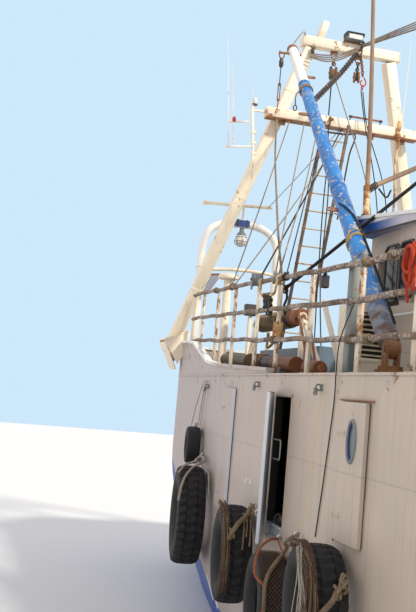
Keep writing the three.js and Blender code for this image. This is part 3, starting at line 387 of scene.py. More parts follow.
# Twines: material name, dark and light strands, bands of lay in a metre
TWINES = {
    "net": ("net_twine", (0.010, 0.018, 0.014), (0.05, 0.075, 0.055), 30.0),
    "rope_brown": ("rope_brown", (0.10, 0.05, 0.025), (0.30, 0.17, 0.09), 60.0),
    "rope_orange": ("rope_orange", (0.34, 0.09, 0.03), (0.60, 0.22, 0.09), 60.0),
    "rope_pale": ("rope_pale", (0.40, 0.34, 0.27), (0.66, 0.60, 0.50), 60.0),
    "rope_gold": ("rope_gold", (0.42, 0.26, 0.06), (0.72, 0.52, 0.20), 60.0),
    "rope_tan": ("rope_tan", (0.15, 0.10, 0.055), (0.46, 0.35, 0.22), 60.0),
    "rope_dark": ("rope_dark", (0.012, 0.012, 0.014), (0.05, 0.045, 0.04), 60.0),
    "net_brown": ("net_brown", (0.05, 0.028, 0.018), (0.24, 0.14, 0.09), 40.0),
    "line_pale": ("line_pale", (0.22, 0.15, 0.10), (0.52, 0.42, 0.31), 60.0),
    "net_dark": ("net_dark", (0.018, 0.016, 0.013), (0.13, 0.105, 0.08), 44.0),
    "rope_red": ("rope_red", (0.45, 0.03, 0.012), (0.74, 0.09, 0.03), 60.0),
}
FINISHES = {
    "hull": hull_side(),
    "antifoul": bottom_side(),
    "boom_blue": boom_side(),
    "fascia_blue": roof_edge(),
    "cap": cap_edge(),
    "rail_brown": rail_pipe(),
    "rubber": tyre_rubber(),
    "glass": window_glass(),
    **{key: painted(*row) for key, row in PAINTS.items()},
    **{key: twine(*row) for key, row in TWINES.items()},
}

OWN_FINISH = {"boom_pedestal": "rust", "stern_bulwark_cap": "cap"}
slot_of = {row["node"]: row["material_slot"] for row in frame["record"]["subparts"]}
for name, node in frame["nodes"].items():
    node.data.materials.clear()
    node.data.materials.append(FINISHES[OWN_FINISH.get(name, slot_of[name])])


# Surfaces
AHEAD, ACROSS, UP = (1, 0, 0), (0, 1, 0), (0, 0, 1)
SHARP = math.radians(35.0)


def unit(v):
    """Directions: each vector over its own length."""
    return v / np.linalg.norm(v, axis=-1, keepdims=True)


def least(ahead):
    """The axis that a direction, or a row of them, leans to least."""
    return np.eye(3)[np.abs(np.atleast_2d(ahead)).max(0).argmin()]


def square_to(ahead, up):
    """Side and upright directions at right angles to a direction."""
    side = unit(np.cross(up, ahead))
    return side, np.cross(ahead, side)


def rounded(width, depth, edge, n=3):
    """Rectangle with round corners: each point is its corner's centre plus a circle point of the edge
    radius."""
    a = (np.arange(4 * n) + 0.5) / (4 * n) * 2 * math.pi
    c, s = np.cos(a), np.sin(a)
    return np.c_[np.sign(c) * (width / 2 - edge) + edge * c, np.sign(s) * (depth / 2 - edge) + edge * s]


def circle(n):
    """Circle points: cosine and sine of equal steps."""
    a = np.arange(n) / n * 2 * math.pi
    return np.c_[np.cos(a), np.sin(a)]


def travelled(path):
    """Distance along a path at each of its points: the sum of the steps up to it."""
    return np.r_[0, np.cumsum(np.linalg.norm(np.diff(path, axis=0), axis=1))]


def spaced(path, at):
    """Points at given distances along a path, on the straight lines between its own."""
    d = travelled(path)
    return np.stack([np.interp(at, d, path[:, k]) for k in range(3)], -1)


def curve(points, n):
    """Smooth line through a few points: each coordinate is a cubic Hermite in the distance along them."""
    p = np.array(points, float)
    if len(p) == 2:
        return p[0] + (p[1] - p[0]) * np.linspace(0, 1, n)[:, None]
    d = travelled(p)
    slope = np.gradient(p, d, axis=0)
    t = np.linspace(0, d[-1], n)
    k = np.clip(np.searchsorted(d, t, side="right") - 1, 0, len(d) - 2)
    h = (d[k + 1] - d[k])[:, None]
    u = ((t - d[k]) / (d[k + 1] - d[k]))[:, None]
    ease = 3 * u**2 - 2 * u**3
    leaving, arriving = (u**3 - 2 * u**2 + u) * h, (u**3 - u**2) * h
    return (1 - ease) * p[k] + leaving * slope[k] + ease * p[k + 1] + arriving * slope[k + 1]


def slack(a, b, drop, n=14):
    """Hanging line: the straight line from a to b lowered by four times the drop times t(1 - t)."""
    t = np.linspace(0, 1, n)[:, None]
    a, b = np.array(a, float), np.array(b, float)
    return a + (b - a) * t - np.array((0, 0, 4 * drop)) * t * (1 - t)


class Shape:
    """Surfaces gathered into one mesh; ink is the number of a surface's finish in the piece."""

    def __init__(self):
        self.points, self.faces, self.inks, self.count = [], [], [], 0

    def grid(self, p, wrap_u=False, wrap_v=False, caps=False, ink=0, flip=False, keep=None):
        """Quads between the neighbouring points of a grid; wraps join its edges, caps close its end rows. A
        closed surface is turned outward: its volume is the sum of a·(b×c) over its triangles, and must be
        positive."""
        nu, nv = p.shape[:2]
        ids = np.arange(nu * nv).reshape(nu, nv)
        if wrap_v:
            ids = np.c_[ids, ids[:, :1]]
        if wrap_u:
            ids = np.r_[ids, ids[:1]]
        quads = np.stack([ids[:-1, :-1], ids[1:, :-1], ids[1:, 1:], ids[:-1, 1:]], -1)
        quads = quads[keep] if keep is not None else quads.reshape(-1, 4)
        faces = quads.tolist()
        if caps:
            faces += [ids[0, :nv].tolist(), ids[-1, :nv][::-1].tolist()]
        flat = p.reshape(-1, 3)
        if caps or (wrap_u and wrap_v):
            a, b, c, d = (flat[quads[:, k]] - flat[0] for k in range(4))
            volume = np.sum(a * np.cross(b, c)) + np.sum(a * np.cross(c, d))
            if caps:
                for ring, way in ((flat[ids[0, :nv]], 1), (flat[ids[-1, :nv]], -1)):
                    ring = ring - flat[0]
                    volume += way * np.sum(ring[0] * np.cross(ring[1:-1], ring[2:]))
            flip = volume < 0
        if flip:
            faces = [face[::-1] for face in faces]
        self.faces += [[k + self.count for k in face] for face in faces]
        self.inks += [ink] * len(faces)
        self.points.append(flat)
        self.count += len(flat)
        return self

    def carried(self, profile, path, up=None, scale=1.0, ink=0, ring=False):
        """A flat profile carried along a path: each point is the path point plus the profile's two distances
        along the side and upright directions of the path there; a ring has no ends."""
        path = np.array(path, float)
        ahead = (np.roll(path, -1, 0) - np.roll(path, 1, 0)) if ring else np.gradient(path, axis=0)
        ahead = unit(ahead)
        side, top = square_to(ahead, least(ahead) if up is None else up)
        size = np.broadcast_to(np.array(scale, float), (len(path),))[:, None, None]
        drawn = profile[None, :, :1] * side[:, None] + profile[None, :, 1:] * top[:, None]
        return self.grid(path[:, None] + size * drawn, wrap_u=ring, wrap_v=True, caps=not ring, ink=ink)

    def tube(self, path, r, sides=8, ink=0, up=None, ring=False):
        """Round tube: a circle carried along the path; r may change along it."""
        return self.carried(circle(sides), path, up, r, ink, ring)

    def rod(self, a, b, r, sides=12, r2=None, ink=0, edge=0.0):
        """Round bar from a to b, its end edges eased by drawing the last ring in."""
        a, b = np.array(a, float), np.array(b, float)
        long = np.linalg.norm(b - a)
        r2 = r if r2 is None else r2
        t = np.array([0, edge / long, 1 - edge / long, 1]) if edge else np.array([0.0, 1.0])
        radii = r + (r2 - r) * t
        if edge:
            radii[[0, -1]] -= edge
        path = a + (b - a) * t[:, None]
        return self.carried(circle(sides), path, least(b - a), radii, ink)

    def hoop(self, centre, first, second, r, up, n, sides, ink=0):
        """Round wire bent to an oval: the centre plus the first half axis times the cosine and the second
        times the sine of n equal steps."""
        c = circle(n)
        return self.tube(centre + c[:, :1] * first + c[:, 1:] * second, r, sides, ink, up, ring=True)

    def bar(self, a, b, width, depth, up=UP, edge=0.006, ink=0, n=2):
        """Rectangular bar from a to b: round-cornered rings, drawn in by the edge at both ends; depth is
        along up."""
        a, b = np.array(a, float), np.array(b, float)
        ahead = unit(b - a)
        side, top = square_to(ahead, up)
        edge = min(edge, 0.45 * width, 0.45 * depth)
        full = rounded(width, depth, edge, n)
        small = full - np.sign(full) * edge * 0.7
        rings = [(a, small), (a + ahead * edge, full), (b - ahead * edge, full), (b, small)]
        p = np.stack([at + ring[:, :1] * side + ring[:, 1:] * top for at, ring in rings])
        return self.grid(p, wrap_v=True, caps=True, ink=ink)

    def block(self, low, high, edge=0.008, ink=0):
        """Box with eased edges between two corners."""
        low, high = np.array(low, float), np.array(high, float)
        mid = (low + high) / 2
        a, b = mid.copy(), mid.copy()
        a[0], b[0] = low[0], high[0]
        return self.bar(a, b, high[1] - low[1], high[2] - low[2], UP, edge, ink)

    def turned(self, profile, centre, axis=UP, sides=20, ink=0, ring=False):
        """Surface of revolution: each profile row is a radius and a distance along the axis."""
        rows = np.array(profile, float)
        axis = unit(np.array(axis, float))
        side, top = square_to(axis, least(axis))
        c = circle(sides)
        around = c[:, :1] * side + c[:, 1:] * top
        p = np.array(centre, float) + rows[:, None, 1:] * axis + rows[:, None, :1] * around[None]
        return self.grid(p, wrap_u=ring, wrap_v=True, caps=not ring, ink=ink)

    def piece(self, name, finish, body="hull_body", slot=None, replaces=()):
        """The gathered mesh as one piece: its finishes are named in the order of the inks, and body is one
        body to hang it on; two bodies and two points leave it unattached where it stands."""
        mesh = bpy.data.meshes.new(name)
        mesh.from_pydata(np.concatenate(self.points).tolist(), [], self.faces)
        for key in finish.split():
            mesh.materials.append(FINISHES[key])
        mesh.polygons.foreach_set("material_index", np.array(self.inks, np.int32))
        mesh.polygons.foreach_set("use_smooth", np.ones(len(self.faces), bool))
        mesh.set_sharp_from_angle(angle=SHARP)
        mesh.update()
        made = bpy.data.objects.new(name, mesh)
        scene.collection.objects.link(made)
        if isinstance(body, tuple):
            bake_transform(made)
        else:
            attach(made, body)
        if replaces:
            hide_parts(*replaces)
        return made


def laid(shape, points, r, n=40, ink=0, pitch=0.09, strands=3):
    """Laid rope: strands wind round a smooth line at half the rope's radius, a turn per pitch, each a round
    tube."""
    path = curve(points, n)
    long = travelled(path)[-1]
    t = np.linspace(0, long, max(n, int(long / pitch * 8)))
    line = spaced(path, t)
    ahead = unit(np.gradient(line, axis=0))
    up = least(ahead)
    side, top = square_to(ahead, up)
    for k in range(strands):
        a = 2 * math.pi * (t / pitch + k / strands)
        strand = line + 0.5 * r * (np.cos(a)[:, None] * side + np.sin(a)[:, None] * top)
        shape.tube(strand, 0.56 * r, 6, ink=ink, up=up)
    return shape


# Hull stations: x, half breadth at the deck, half breadth at the boot line, deck height
STATIONS = np.array([
    (-10.95, 1.250, 0.420, 3.70), (-10.85, 1.650, 0.760, 3.70), (-10.55, 2.080, 1.080, 3.70),
    (-10.10, 2.330, 1.320, 3.70), (-9.50, 2.480, 1.560, 3.70), (-8.85, 2.535, 1.760, 3.70),
    (-8.45, 2.560, 1.870, 3.70), (-7.20, 2.640, 2.160, 3.70), (-5.60, 2.720, 2.400, 3.70),
    (-4.00, 2.790, 2.560, 3.70), (-2.40, 2.850, 2.680, 3.70), (-0.80, 2.910, 2.760, 3.70),
    (0.80, 2.950, 2.800, 3.70), (2.40, 2.950, 2.760, 3.70), (4.00, 2.900, 2.600, 3.70),
    (5.60, 2.760, 2.260, 3.85), (7.00, 2.520, 1.780, 4.01), (8.30, 2.130, 1.180, 4.20),
    (9.40, 1.620, 0.620, 4.39), (10.20, 1.080, 0.260, 4.55), (10.70, 0.620, 0.090, 4.65),
    (11.00, 0.220, 0.040, 4.71),
])
DECK_HALF, BOOT_HALF, DECK_Z = 1, 2, 3
DECK, BOOT = 3.7, 0.3
FULL_AT, FULL_STERN_FROM, FULL_STERN_CLIMB, FLARE_FROM = 1.5, -6.0, 0.25, 4.0
DOOR_EYE_Z = 2.6
FRAME_PITCH, STRAKE, DISH = 0.75, 0.61, 0.004


def row(x, column):
    """A column of the stations at x, straight between them."""
    return np.interp(x, STATIONS[:, 0], STATIONS[:, column])


def beam_at(x, z):
    """Half breadth above the waterline: the boot line's, easing as t(2 - t) to the deck's, which it reaches
    at a height that climbs toward the stern and is the deck's own in the bow."""
    deck, boot = row(x, DECK_HALF), row(x, BOOT_HALF)
    full = np.where(x > FLARE_FROM, DECK, FULL_AT + FULL_STERN_CLIMB * np.maximum(0, FULL_STERN_FROM - x))
    t = np.clip(z / full, 0, 1)
    return boot + (deck - boot) * t * (2 - t)


def side_frame(x, near=0.06):
    """Origin on the starboard skin, direction forward along it, and inboard."""
    slope = (beam_at(x + near, DOOR_EYE_Z) - beam_at(x - near, DOOR_EYE_Z)) / (2 * near)
    a = math.atan(slope)
    return (
        np.array((x, -float(beam_at(x, DOOR_EYE_Z)), 0.0)),
        np.array((math.cos(a), -math.sin(a), 0.0)),
        np.array((math.sin(a), math.cos(a), 0.0)),
    )


def on_side(frame_of, local):
    """Points given as forward, inboard, height in a side frame."""
    origin, ahead, inboard = frame_of
    p = np.array(local, float)
    return origin + p[..., :1] * ahead + p[..., 1:2] * inboard + p[..., 2:] * np.array((0.0, 0.0, 1.0))


# Side doors' places, the doorway behind the open one and the lobby inside it
DOOR_AFT_X, DOOR_OPEN_X, DOOR_FORE_X = -4.72, -2.16, 0.03
OPEN_HALF, OPEN_Z0, OPEN_Z1, RECESS_Z0 = 0.30, 2.0, 3.43, 1.87
ROOM_AFT, ROOM_FORE, ROOM_IN, ROOM_DEPTH, ROOM_Z1 = -1.5, 0.87, 0.09, 2.1, 3.44


def hull_shell():
    """Shell plating: at each station the skin is the half breadth less a shallow dish between frames, whose
    depth is the product of two sines; the doorway is left out of the starboard grid; deck and ends are ruled
    across."""
    doorway = side_frame(DOOR_OPEN_X)
    edges = on_side(doorway, [(-OPEN_HALF, 0, 0), (OPEN_HALF, 0, 0)])[:, 0]
    stations = STATIONS[:, 0]
    xs = np.unique(np.round(np.r_[np.linspace(stations[0], stations[-1], 176), stations, edges], 5))
    zs = np.unique(np.r_[np.linspace(BOOT, RECESS_Z0, 12), np.linspace(OPEN_Z0, OPEN_Z1, 11)])
    top = row(xs, DECK_Z)
    lift = np.array([0.25, 0.5, 0.75, 1.0])
    z = np.c_[np.broadcast_to(zs, (len(xs), len(zs))), OPEN_Z1 + (top[:, None] - OPEN_Z1) * lift]
    x = np.broadcast_to(xs[:, None], z.shape)
    y = beam_at(x, z) - DISH * np.abs(np.sin(math.pi * x / FRAME_PITCH) * np.sin(math.pi * z / STRAKE))
    shape = Shape()
    xc = (xs[:-1] + xs[1:]) / 2
    zc = (z[0, :-1] + z[0, 1:]) / 2
    open_x = np.abs(xc - edges.mean()) < (edges[1] - edges[0]) / 2
    open_z = (zc > RECESS_Z0) & (zc < OPEN_Z1)
    shape.grid(np.stack([x, -y, z], -1), keep=~(open_x[:, None] & open_z[None]))
    shape.grid(np.stack([x, y, z], -1), flip=True)
    across = np.linspace(-1, 1, 15)

    def ruled(x, half, z, flip, ink=0):
        """Surface between the two sides along a line of x, half breadth and height."""
        lines = np.broadcast_arrays(np.asarray(x)[..., None], across * half[:, None], z[:, None])
        shape.grid(np.stack(lines, -1), ink=ink, flip=flip)

    ruled(xs, y[:, -1], top, True, 1)
    for k, flip in ((0, True), (-1, False)):
        ruled(xs[k], y[k], z[k], flip)
    return shape, doorway


def box_inside(shape, frame_of, low, high, ink, open_y=True, steps=8):
    """Walls of a room seen from inside, ruled between its corners: floor, ceiling and both ends, and the back
    wall too unless open_y.
    """
    (x0, y0, z0), (x1, y1, z1) = low, high
    t = np.linspace(0, 1, steps)

    def wall(a, b, c, flip):
        """Grid from corner a toward b and toward c."""
        a, b, c = (np.array(v, float) for v in (a, b, c))
        p = a + (b - a) * t[:, None, None] + (c - a) * t[None, :, None]
        shape.grid(on_side(frame_of, p), ink=ink, flip=flip)

    wall((x0, y0, z0), (x1, y0, z0), (x0, y1, z0), False)
    wall((x0, y0, z1), (x1, y0, z1), (x0, y1, z1), True)
    wall((x0, y0, z0), (x0, y1, z0), (x0, y0, z1), False)
    wall((x1, y0, z0), (x1, y1, z0), (x1, y0, z1), True)
    if not open_y:
        wall((x0, y1, z0), (x1, y1, z0), (x0, y1, z1), True)


def build_hull():
    """Shell, the doorway's throat, the lobby in near-black painted shade, and the pale bar along each deck
    edge.
    """
    shape, doorway = hull_shell()
    room, edge, washboard_in = 2, 3, 0.045
    # throat and lobby walls take the near-black finish, painted shade inside the doorway
    box_inside(shape, doorway, (-OPEN_HALF, 0.0, OPEN_Z0), (OPEN_HALF, ROOM_IN, OPEN_Z1), room)
    box_inside(shape, doorway, (ROOM_AFT, ROOM_IN, RECESS_Z0), (ROOM_FORE, ROOM_DEPTH, ROOM_Z1), room,
               open_y=False)
    for x0, x1, z0, z1 in ((ROOM_AFT, -OPEN_HALF, RECESS_Z0, ROOM_Z1),
                           (OPEN_HALF, ROOM_FORE, RECESS_Z0, ROOM_Z1),
                           (-OPEN_HALF, OPEN_HALF, RECESS_Z0, OPEN_Z0),
                           (-OPEN_HALF, OPEN_HALF, OPEN_Z1, ROOM_Z1)):
        plate = [[(x0, ROOM_IN, z0), (x0, ROOM_IN, z1)], [(x1, ROOM_IN, z0), (x1, ROOM_IN, z1)]]
        shape.grid(on_side(doorway, plate), ink=room)
    box_inside(shape, doorway, (-OPEN_HALF, 0.0, RECESS_Z0), (OPEN_HALF, washboard_in, OPEN_Z0), edge,
               open_y=False)
    xs = np.linspace(-10.1, 10.2, 120)
    for s in (-1, 1):
        path = np.c_[xs, s * (row(xs, DECK_HALF) + 0.004), row(xs, DECK_Z) - 0.016]
        shape.carried(rounded(0.024, 0.030, 0.009, 3), path, UP)
    shape.piece("shell_plating", "hull deck_green dark_room pale_edge", slot="hull",
                replaces=["hull_topsides"])


build_hull()


# Stern gantry
LEG_FOOT, LEG_TOP, LEG_SIDE = np.array((-9.53, 2.66, 4.33)), np.array((-8.15, 0.80, 10.08)), 0.22
BEAM_2 = {"x": -8.254, "z": 8.71, "half": 1.56, "side": 0.185}
BEAM_TOP = {"x": -8.13, "z": 10.15, "half": 0.985, "side": 0.19}


def leg_point(z, s):
    """Point on a leg's centre line at a height."""
    t = (LEG_TOP[2] - z) / (LEG_TOP[2] - LEG_FOOT[2])
    return (LEG_TOP + (LEG_FOOT - LEG_TOP) * t) * (1, s, 1)


def gantry_leg(s, name, node):
    """Square tube with weld rings, on a gusseted foot whose outline is drawn in the plane across the hull."""
    shape = Shape()
    shape.bar(leg_point(4.35, s), leg_point(10.04, s), LEG_SIDE, LEG_SIDE, AHEAD, 0.022, n=4)
    for z in (5.35, 7.15, 9.2):
        shape.bar(leg_point(z, s), leg_point(z + 0.02, s), LEG_SIDE + 0.012, LEG_SIDE + 0.012, AHEAD, 0.01,
                  n=4)
    x, gusset_at, gusset_half, foot_half, lid = LEG_FOOT[0], 0.25, 0.012, 0.28, 0.03
    outline = np.array([(2.40, 4.56), (2.86, 4.36), (2.86, 4.30), (2.58, 3.90), (2.40, 4.20)])
    for dx in (-gusset_at, gusset_at):
        faces = [np.c_[np.full(5, x + dx + t), s * outline[:, 0], outline[:, 1]]
                 for t in (-gusset_half, gusset_half)]
        shape.grid(np.stack(faces), wrap_v=True, caps=True)
    (y0, z0), (y1, z1) = (2.40, 4.565), (2.86, 4.365)
    top = np.array([(x - foot_half, s * y0, z0), (x - foot_half, s * y1, z1),
                    (x + foot_half, s * y1, z1), (x + foot_half, s * y0, z0)])
    shape.grid(np.stack([top, top - (0, 0, lid)]), wrap_v=True, caps=True)
    shape.bar((x, s * 2.86, 4.30), (x, s * 2.60, 3.80), 0.5, 0.024, (0, s, 0.5), 0.005)
    shape.piece(name, "cream", slot="cream", replaces=[node])


gantry_leg(-1, "gantry_strut_starboard", "gantry_leg_starboard")
gantry_leg(1, "gantry_strut_port", "gantry_leg_port")


def gantry_beams():
    """Two square beams with lugs under them; the lower has a rusty strip, the upper end plates and a stub
    post."""
    low = Shape()
    x, z, half, side = BEAM_2.values()
    under = z - side / 2
    low.bar((x, -half, z), (x, half, z), side, side, UP, 0.016, n=3)
    low.bar((x, -half + 0.02, under - 0.008), (x, half - 0.02, under - 0.008), side + 0.012, 0.02, UP, 0.004,
            ink=1)
    for y in (-1.2, -0.55, 0.6, 1.25):
        low.block((x - 0.02, y - 0.05, under - 0.11), (x + 0.02, y + 0.05, under), 0.012, ink=1)
    low.piece("second_beam_box", "cream rust", slot="cream", replaces=["gantry_second_beam"])
    top = Shape()
    x, z, half, side = BEAM_TOP.values()
    under, plate = z - side / 2, 0.105
    top.bar((x, -half, z), (x, half, z), side, side, UP, 0.016, n=3)
    for y in (-half, half):
        top.block((x - plate, y - 0.012, z - plate), (x + plate, y + 0.012, z + plate), 0.01)
    top.bar((x, -0.64, z + 0.085), (x + 0.06, -0.56, z + 0.425), 0.13, 0.13, AHEAD, 0.014, n=3)
    for y in (-0.33, 0.17):
        top.block((x - 0.03, y - 0.07, under - 0.07), (x + 0.03, y + 0.07, under + 0.01), 0.01, ink=1)
    top.piece("top_beam_box", "cream rust", slot="cream", replaces=["gantry_top_beam"])


gantry_beams()

# Derrick boom
HEEL, TIP = np.array((-0.56, -2.35, 3.975)), np.array((-7.42, -1.39, 9.64))
BOOM_R, BOOM_TAPER, NOSE, HEEL_GAP = 0.112, 0.18, 1.75, 0.15
BOOM_AHEAD = unit(TIP - HEEL)
BOOM_LEN = float(np.linalg.norm(TIP - HEEL))
BOOM_SIDE, BOOM_TOP = square_to(BOOM_AHEAD, UP)
HANG = np.array((0, 0, -1.0))


def boom_at(d, out=0.0, up=0.0):
    """Point d along the boom, with distances to its starboard side and above it."""
    return HEEL + BOOM_AHEAD * d + BOOM_SIDE * out + BOOM_TOP * up


def boom_radius(d):
    """The heel's radius, falling evenly by the taper's share as far as the nose."""
    return BOOM_R * (1 - BOOM_TAPER * (np.asarray(d) - HEEL_GAP) / (BOOM_LEN - NOSE - HEEL_GAP))


def wound(d, a, c):
    """Points round the boom: distances d along it, angles a from its starboard side, distances c from its
    axis."""
    out, up = (c * np.cos(a))[:, None], (c * np.sin(a))[:, None]
    return HEEL + BOOM_AHEAD * d[:, None] + BOOM_SIDE * out + BOOM_TOP * up


def round_boom(shape, d0, d1, turns, r, ink, lift, steps=20):
    """Turns of line round the boom: a helix from d0 to d1 at the spar's radius plus the line's."""
    a = np.linspace(0, turns * 2 * math.pi, int(turns * steps))
    d = np.linspace(d0, d1, len(a)) + lift * np.sin(a)
    shape.tube(wound(d, a, boom_radius(d) + r * 0.9), r, 6, ink=ink, up=BOOM_AHEAD)


def build_boom():
    """Round spar, its radius falling evenly, with a stepped white nose, bands, pad-eyes and the heel eye."""
    shape = Shape()
    white, rust, eye_half = 1, 2, 0.0445
    end = BOOM_LEN - NOSE
    d = np.linspace(HEEL_GAP, end, 60)
    shape.tube(HEEL + BOOM_AHEAD * d[:, None], boom_radius(d), 24)
    shape.rod(boom_at(end - 0.002), boom_at(BOOM_LEN - 0.02), BOOM_R * 0.815, 24, BOOM_R * 0.78, white, 0.004)
    shape.rod(boom_at(BOOM_LEN - 0.09), boom_at(BOOM_LEN + 0.038), BOOM_R * 0.90, 20, ink=rust, edge=0.012)
    for at in (3.4, 6.2, end - 0.06):
        shape.rod(boom_at(at), boom_at(at + 0.06), float(boom_radius(at)) + 0.005, 24, edge=0.003)
    heel_eye = [(0.041, 0), (0.09, 0), (0.095, 0.006), (0.095, 0.083), (0.09, 0.089), (0.041, 0.089)]
    shape.turned(heel_eye, HEEL - BOOM_SIDE * eye_half, BOOM_SIDE, 24, ink=rust, ring=True)
    shape.bar(boom_at(0.05), boom_at(0.22), 0.076, 0.15, BOOM_TOP, 0.01, ink=rust)
    for at, out in ((2.85, 1), (5.90, 1), (7.6, -1)):
        shape.bar(boom_at(at, 0.08 * out), boom_at(at, 0.185 * out), 0.10, 0.020, BOOM_TOP, 0.008, ink=rust)
        shape.hoop(boom_at(at, 0.20 * out), BOOM_SIDE * 0.038, BOOM_AHEAD * 0.038, 0.012, BOOM_TOP, 16, 8,
                   rust)
    shape.piece("boom_spar", "boom_blue white rust", "boom_body", slot="boom_blue", replaces=["boom"])

    tip = Shape()
    pin, steel, wire = 8.72, 1, 2
    p = boom_at(pin, 0.215)
    tip.rod(boom_at(pin, -0.13), boom_at(pin, 0.26), 0.020, 10, edge=0.004)
    tip.rod(boom_at(pin, 0.24), boom_at(pin, 0.27), 0.034, 10, edge=0.006)
    a = np.linspace(-0.3, math.pi + 0.3, 14)
    bow = p + HANG * (0.03 + 0.075 * np.sin(a))[:, None] + BOOM_SIDE * (0.045 * np.cos(a))[:, None]
    tip.tube(bow, 0.013, 8, up=BOOM_AHEAD)
    tip.rod(p + HANG * 0.10, p + HANG * 0.20, 0.030, 10, 0.045, steel, 0.01)
    tip.rod(p + HANG * 0.20, p + HANG * 0.27, 0.045, 10, 0.030, steel, 0.01)
    for top, low, steps in ((0.26, 0.60, 6), (0.87, 1.0, 5)):
        tip.tube(slack(p + HANG * top, p + HANG * low, 0.0, steps), 0.009, 6, ink=wire)
    for dx in (-0.018, 0.018):
        tip.rod(p + BOOM_SIDE * dx + HANG * 0.58, p + BOOM_SIDE * dx + HANG * 0.86, 0.010, 8)
    for top, low in ((0.56, 0.60), (0.84, 0.88)):
        tip.rod(p + HANG * top, p + HANG * low, 0.028, 10, edge=0.006)
    tip.hoop(boom_at(BOOM_LEN + 0.03), BOOM_AHEAD * 0.045, BOOM_TOP * 0.045, 0.013, BOOM_SIDE, 14, 8)
    tip.piece("boom_tip_gear", "rust dark_steel wire", "boom_body", slot="rust")

    lash = Shape()
    tan, iron = 1, 2
    for turns in ((2.02, 2.07, 2.0, 0.009, 0, 0.05), (2.08, 2.10, 1.0, 0.009, 0, 0.10),
                  (1.42, 1.50, 3.0, 0.010, tan, 0.05), (1.52, 1.60, 1.0, 0.010, tan, 0.12),
                  (6.88, 6.96, 3.0, 0.011, tan, 0.01)):
        round_boom(lash, *turns)
    p = boom_at(6.84, 0.17)
    laid(lash, [boom_at(6.90, 0.08, 0.03), boom_at(6.86, 0.16) + HANG * 0.05, p + HANG * 0.22], 0.010,
         ink=tan)
    lash.hoop(p + HANG * 0.27, HANG * 0.045, BOOM_SIDE * 0.027, 0.010, BOOM_AHEAD, 16, 6, iron)
    lash.piece("boom_lashings", "rope_gold rope_tan rust", "boom_body", slot="net")

    dark = Shape()
    d = np.array([2.90, 2.75, 2.55, 2.30, 1.95, 1.55, 1.10, 0.62, 0.30])
    a = np.radians(np.array([35.0, 65, 95, 112, 122, 128, 128, 126, 124]))
    laid(dark, wound(d, a, boom_radius(d) + 0.016), 0.012, n=90, pitch=0.05)
    dark.piece("boom_dark_line", "rope_dark", "boom_body", slot="net")


build_boom()


# Rails outside flat stanchions
RAIL_XS = np.array((-9.08, -8.20, -6.87, -5.60, -4.20, -3.17, -1.90, -0.42, 0.80, 2.40, 3.90))
RAIL_LEVELS = {"low": (0.310, 0.038), "middle": (0.680, 0.043), "top": (1.030, 0.054)}
RAIL_R, RAIL_IN, RAIL_OUT = 0.030, 0.16, 0.047
POST_X, POST_IN = -0.7, 0.043


def rail_point(x, level, s, out=0.0):
    """Point above the deck edge: height plus climb times the distance aft of amidships."""
    height, climb = level
    x = np.asarray(x, float)
    z = np.maximum(row(x + 0.06, DECK_Z), DECK) + height + climb * np.maximum(0, -x)
    return np.stack([x, s * (row(x, DECK_HALF) - RAIL_IN + out), z], -1)


def build_rails(s, side):
    """Flat stanchions on foot plates, one stout post, and three pipes that wander by two slow sines."""
    posts = Shape()
    deck, top = (0.0, 0.0), RAIL_LEVELS["top"]
    for x in RAIL_XS:
        foot = rail_point(x, deck, s)
        posts.bar(foot, rail_point(x, top, s) + (0, 0, 0.03), 0.09, 0.034, ACROSS, 0.006)
        posts.block(foot + (-0.08, -0.055, 0.0), foot + (0.08, 0.055, 0.014), 0.005)
    foot, head = rail_point(POST_X, deck, s, -POST_IN), rail_point(POST_X, top, s, -POST_IN) + (0, 0, 0.06)
    posts.bar(foot, head, 0.13, 0.12, ACROSS, 0.012, ink=2, n=3)
    xs = np.linspace(RAIL_XS[0], RAIL_XS[-1], 90)
    sag = np.c_[0 * xs, 0 * xs, 0.008 * np.sin(xs * 5.1) + 0.006 * np.sin(xs * 2.3 + 1.0)]
    posts.tube(rail_point(xs, RAIL_LEVELS["low"], s, RAIL_OUT - 0.006) + sag, RAIL_R, 12, ink=1)
    posts.piece(f"stanchions_{side}", "post_paint rail_brown grey_paint", slot="cream",
                replaces=[f"railing_{side}"])
    for level in ("middle", "top"):
        pipe = Shape()
        pipe.tube(rail_point(xs, RAIL_LEVELS[level], s, RAIL_OUT) + sag * 0.7, RAIL_R, 12)
        for x in RAIL_XS[1::3]:
            sleeve = rail_point(np.array([x + 0.3, x + 0.36]), RAIL_LEVELS[level], s, RAIL_OUT)
            pipe.rod(sleeve[0], sleeve[1], RAIL_R + 0.006, 12, edge=0.003)
        pipe.piece(f"pipe_{level}_{side}", "rail_brown", slot="rail_brown", replaces=[f"rail_{level}_{side}"])


build_rails(-1, "starboard")
build_rails(1, "port")


# Tyre fenders: x, height, outer radius, width, tread ribs
TYRE_TURN = math.radians(5)
TYRES = {
    "tyre_starboard_1": (-6.56, 2.56, 0.30, 0.22, 0),
    "tyre_starboard_2": (-5.86, 1.57, 0.74, 0.42, 34),
    "tyre_starboard_3": (-3.12, 1.51, 0.59, 0.36, 30),
    "tyre_starboard_4": (-1.57, 1.315, 0.51, 0.34, 0),
    "tyre_starboard_5": (-0.08, 1.66, 0.52, 0.38, 30),
    "tyre_port_1": (-4.20, 1.40, 0.62, 0.31, 44),
    "tyre_port_2": (-0.50, 1.40, 0.62, 0.31, 44),
}
# Tyre section: radius and half width as shares; bead and wall, then the tread's places across
WALL = np.array([(0.50, -0.40), (0.53, -0.62), (0.60, -0.86), (0.70, -0.97), (0.82, -0.99)])
INSIDE = np.array([(0.53, 0.2), (0.55, 0.0), (0.53, -0.2)])
TREAD_HALF = np.array([0.10, 0.32, 0.34, 0.40, 0.42, 0.62, 0.80, 0.92])
GROOVE_AT, GROOVE_DEEP, LUG_DEEP = 0.37, 0.022, 0.020


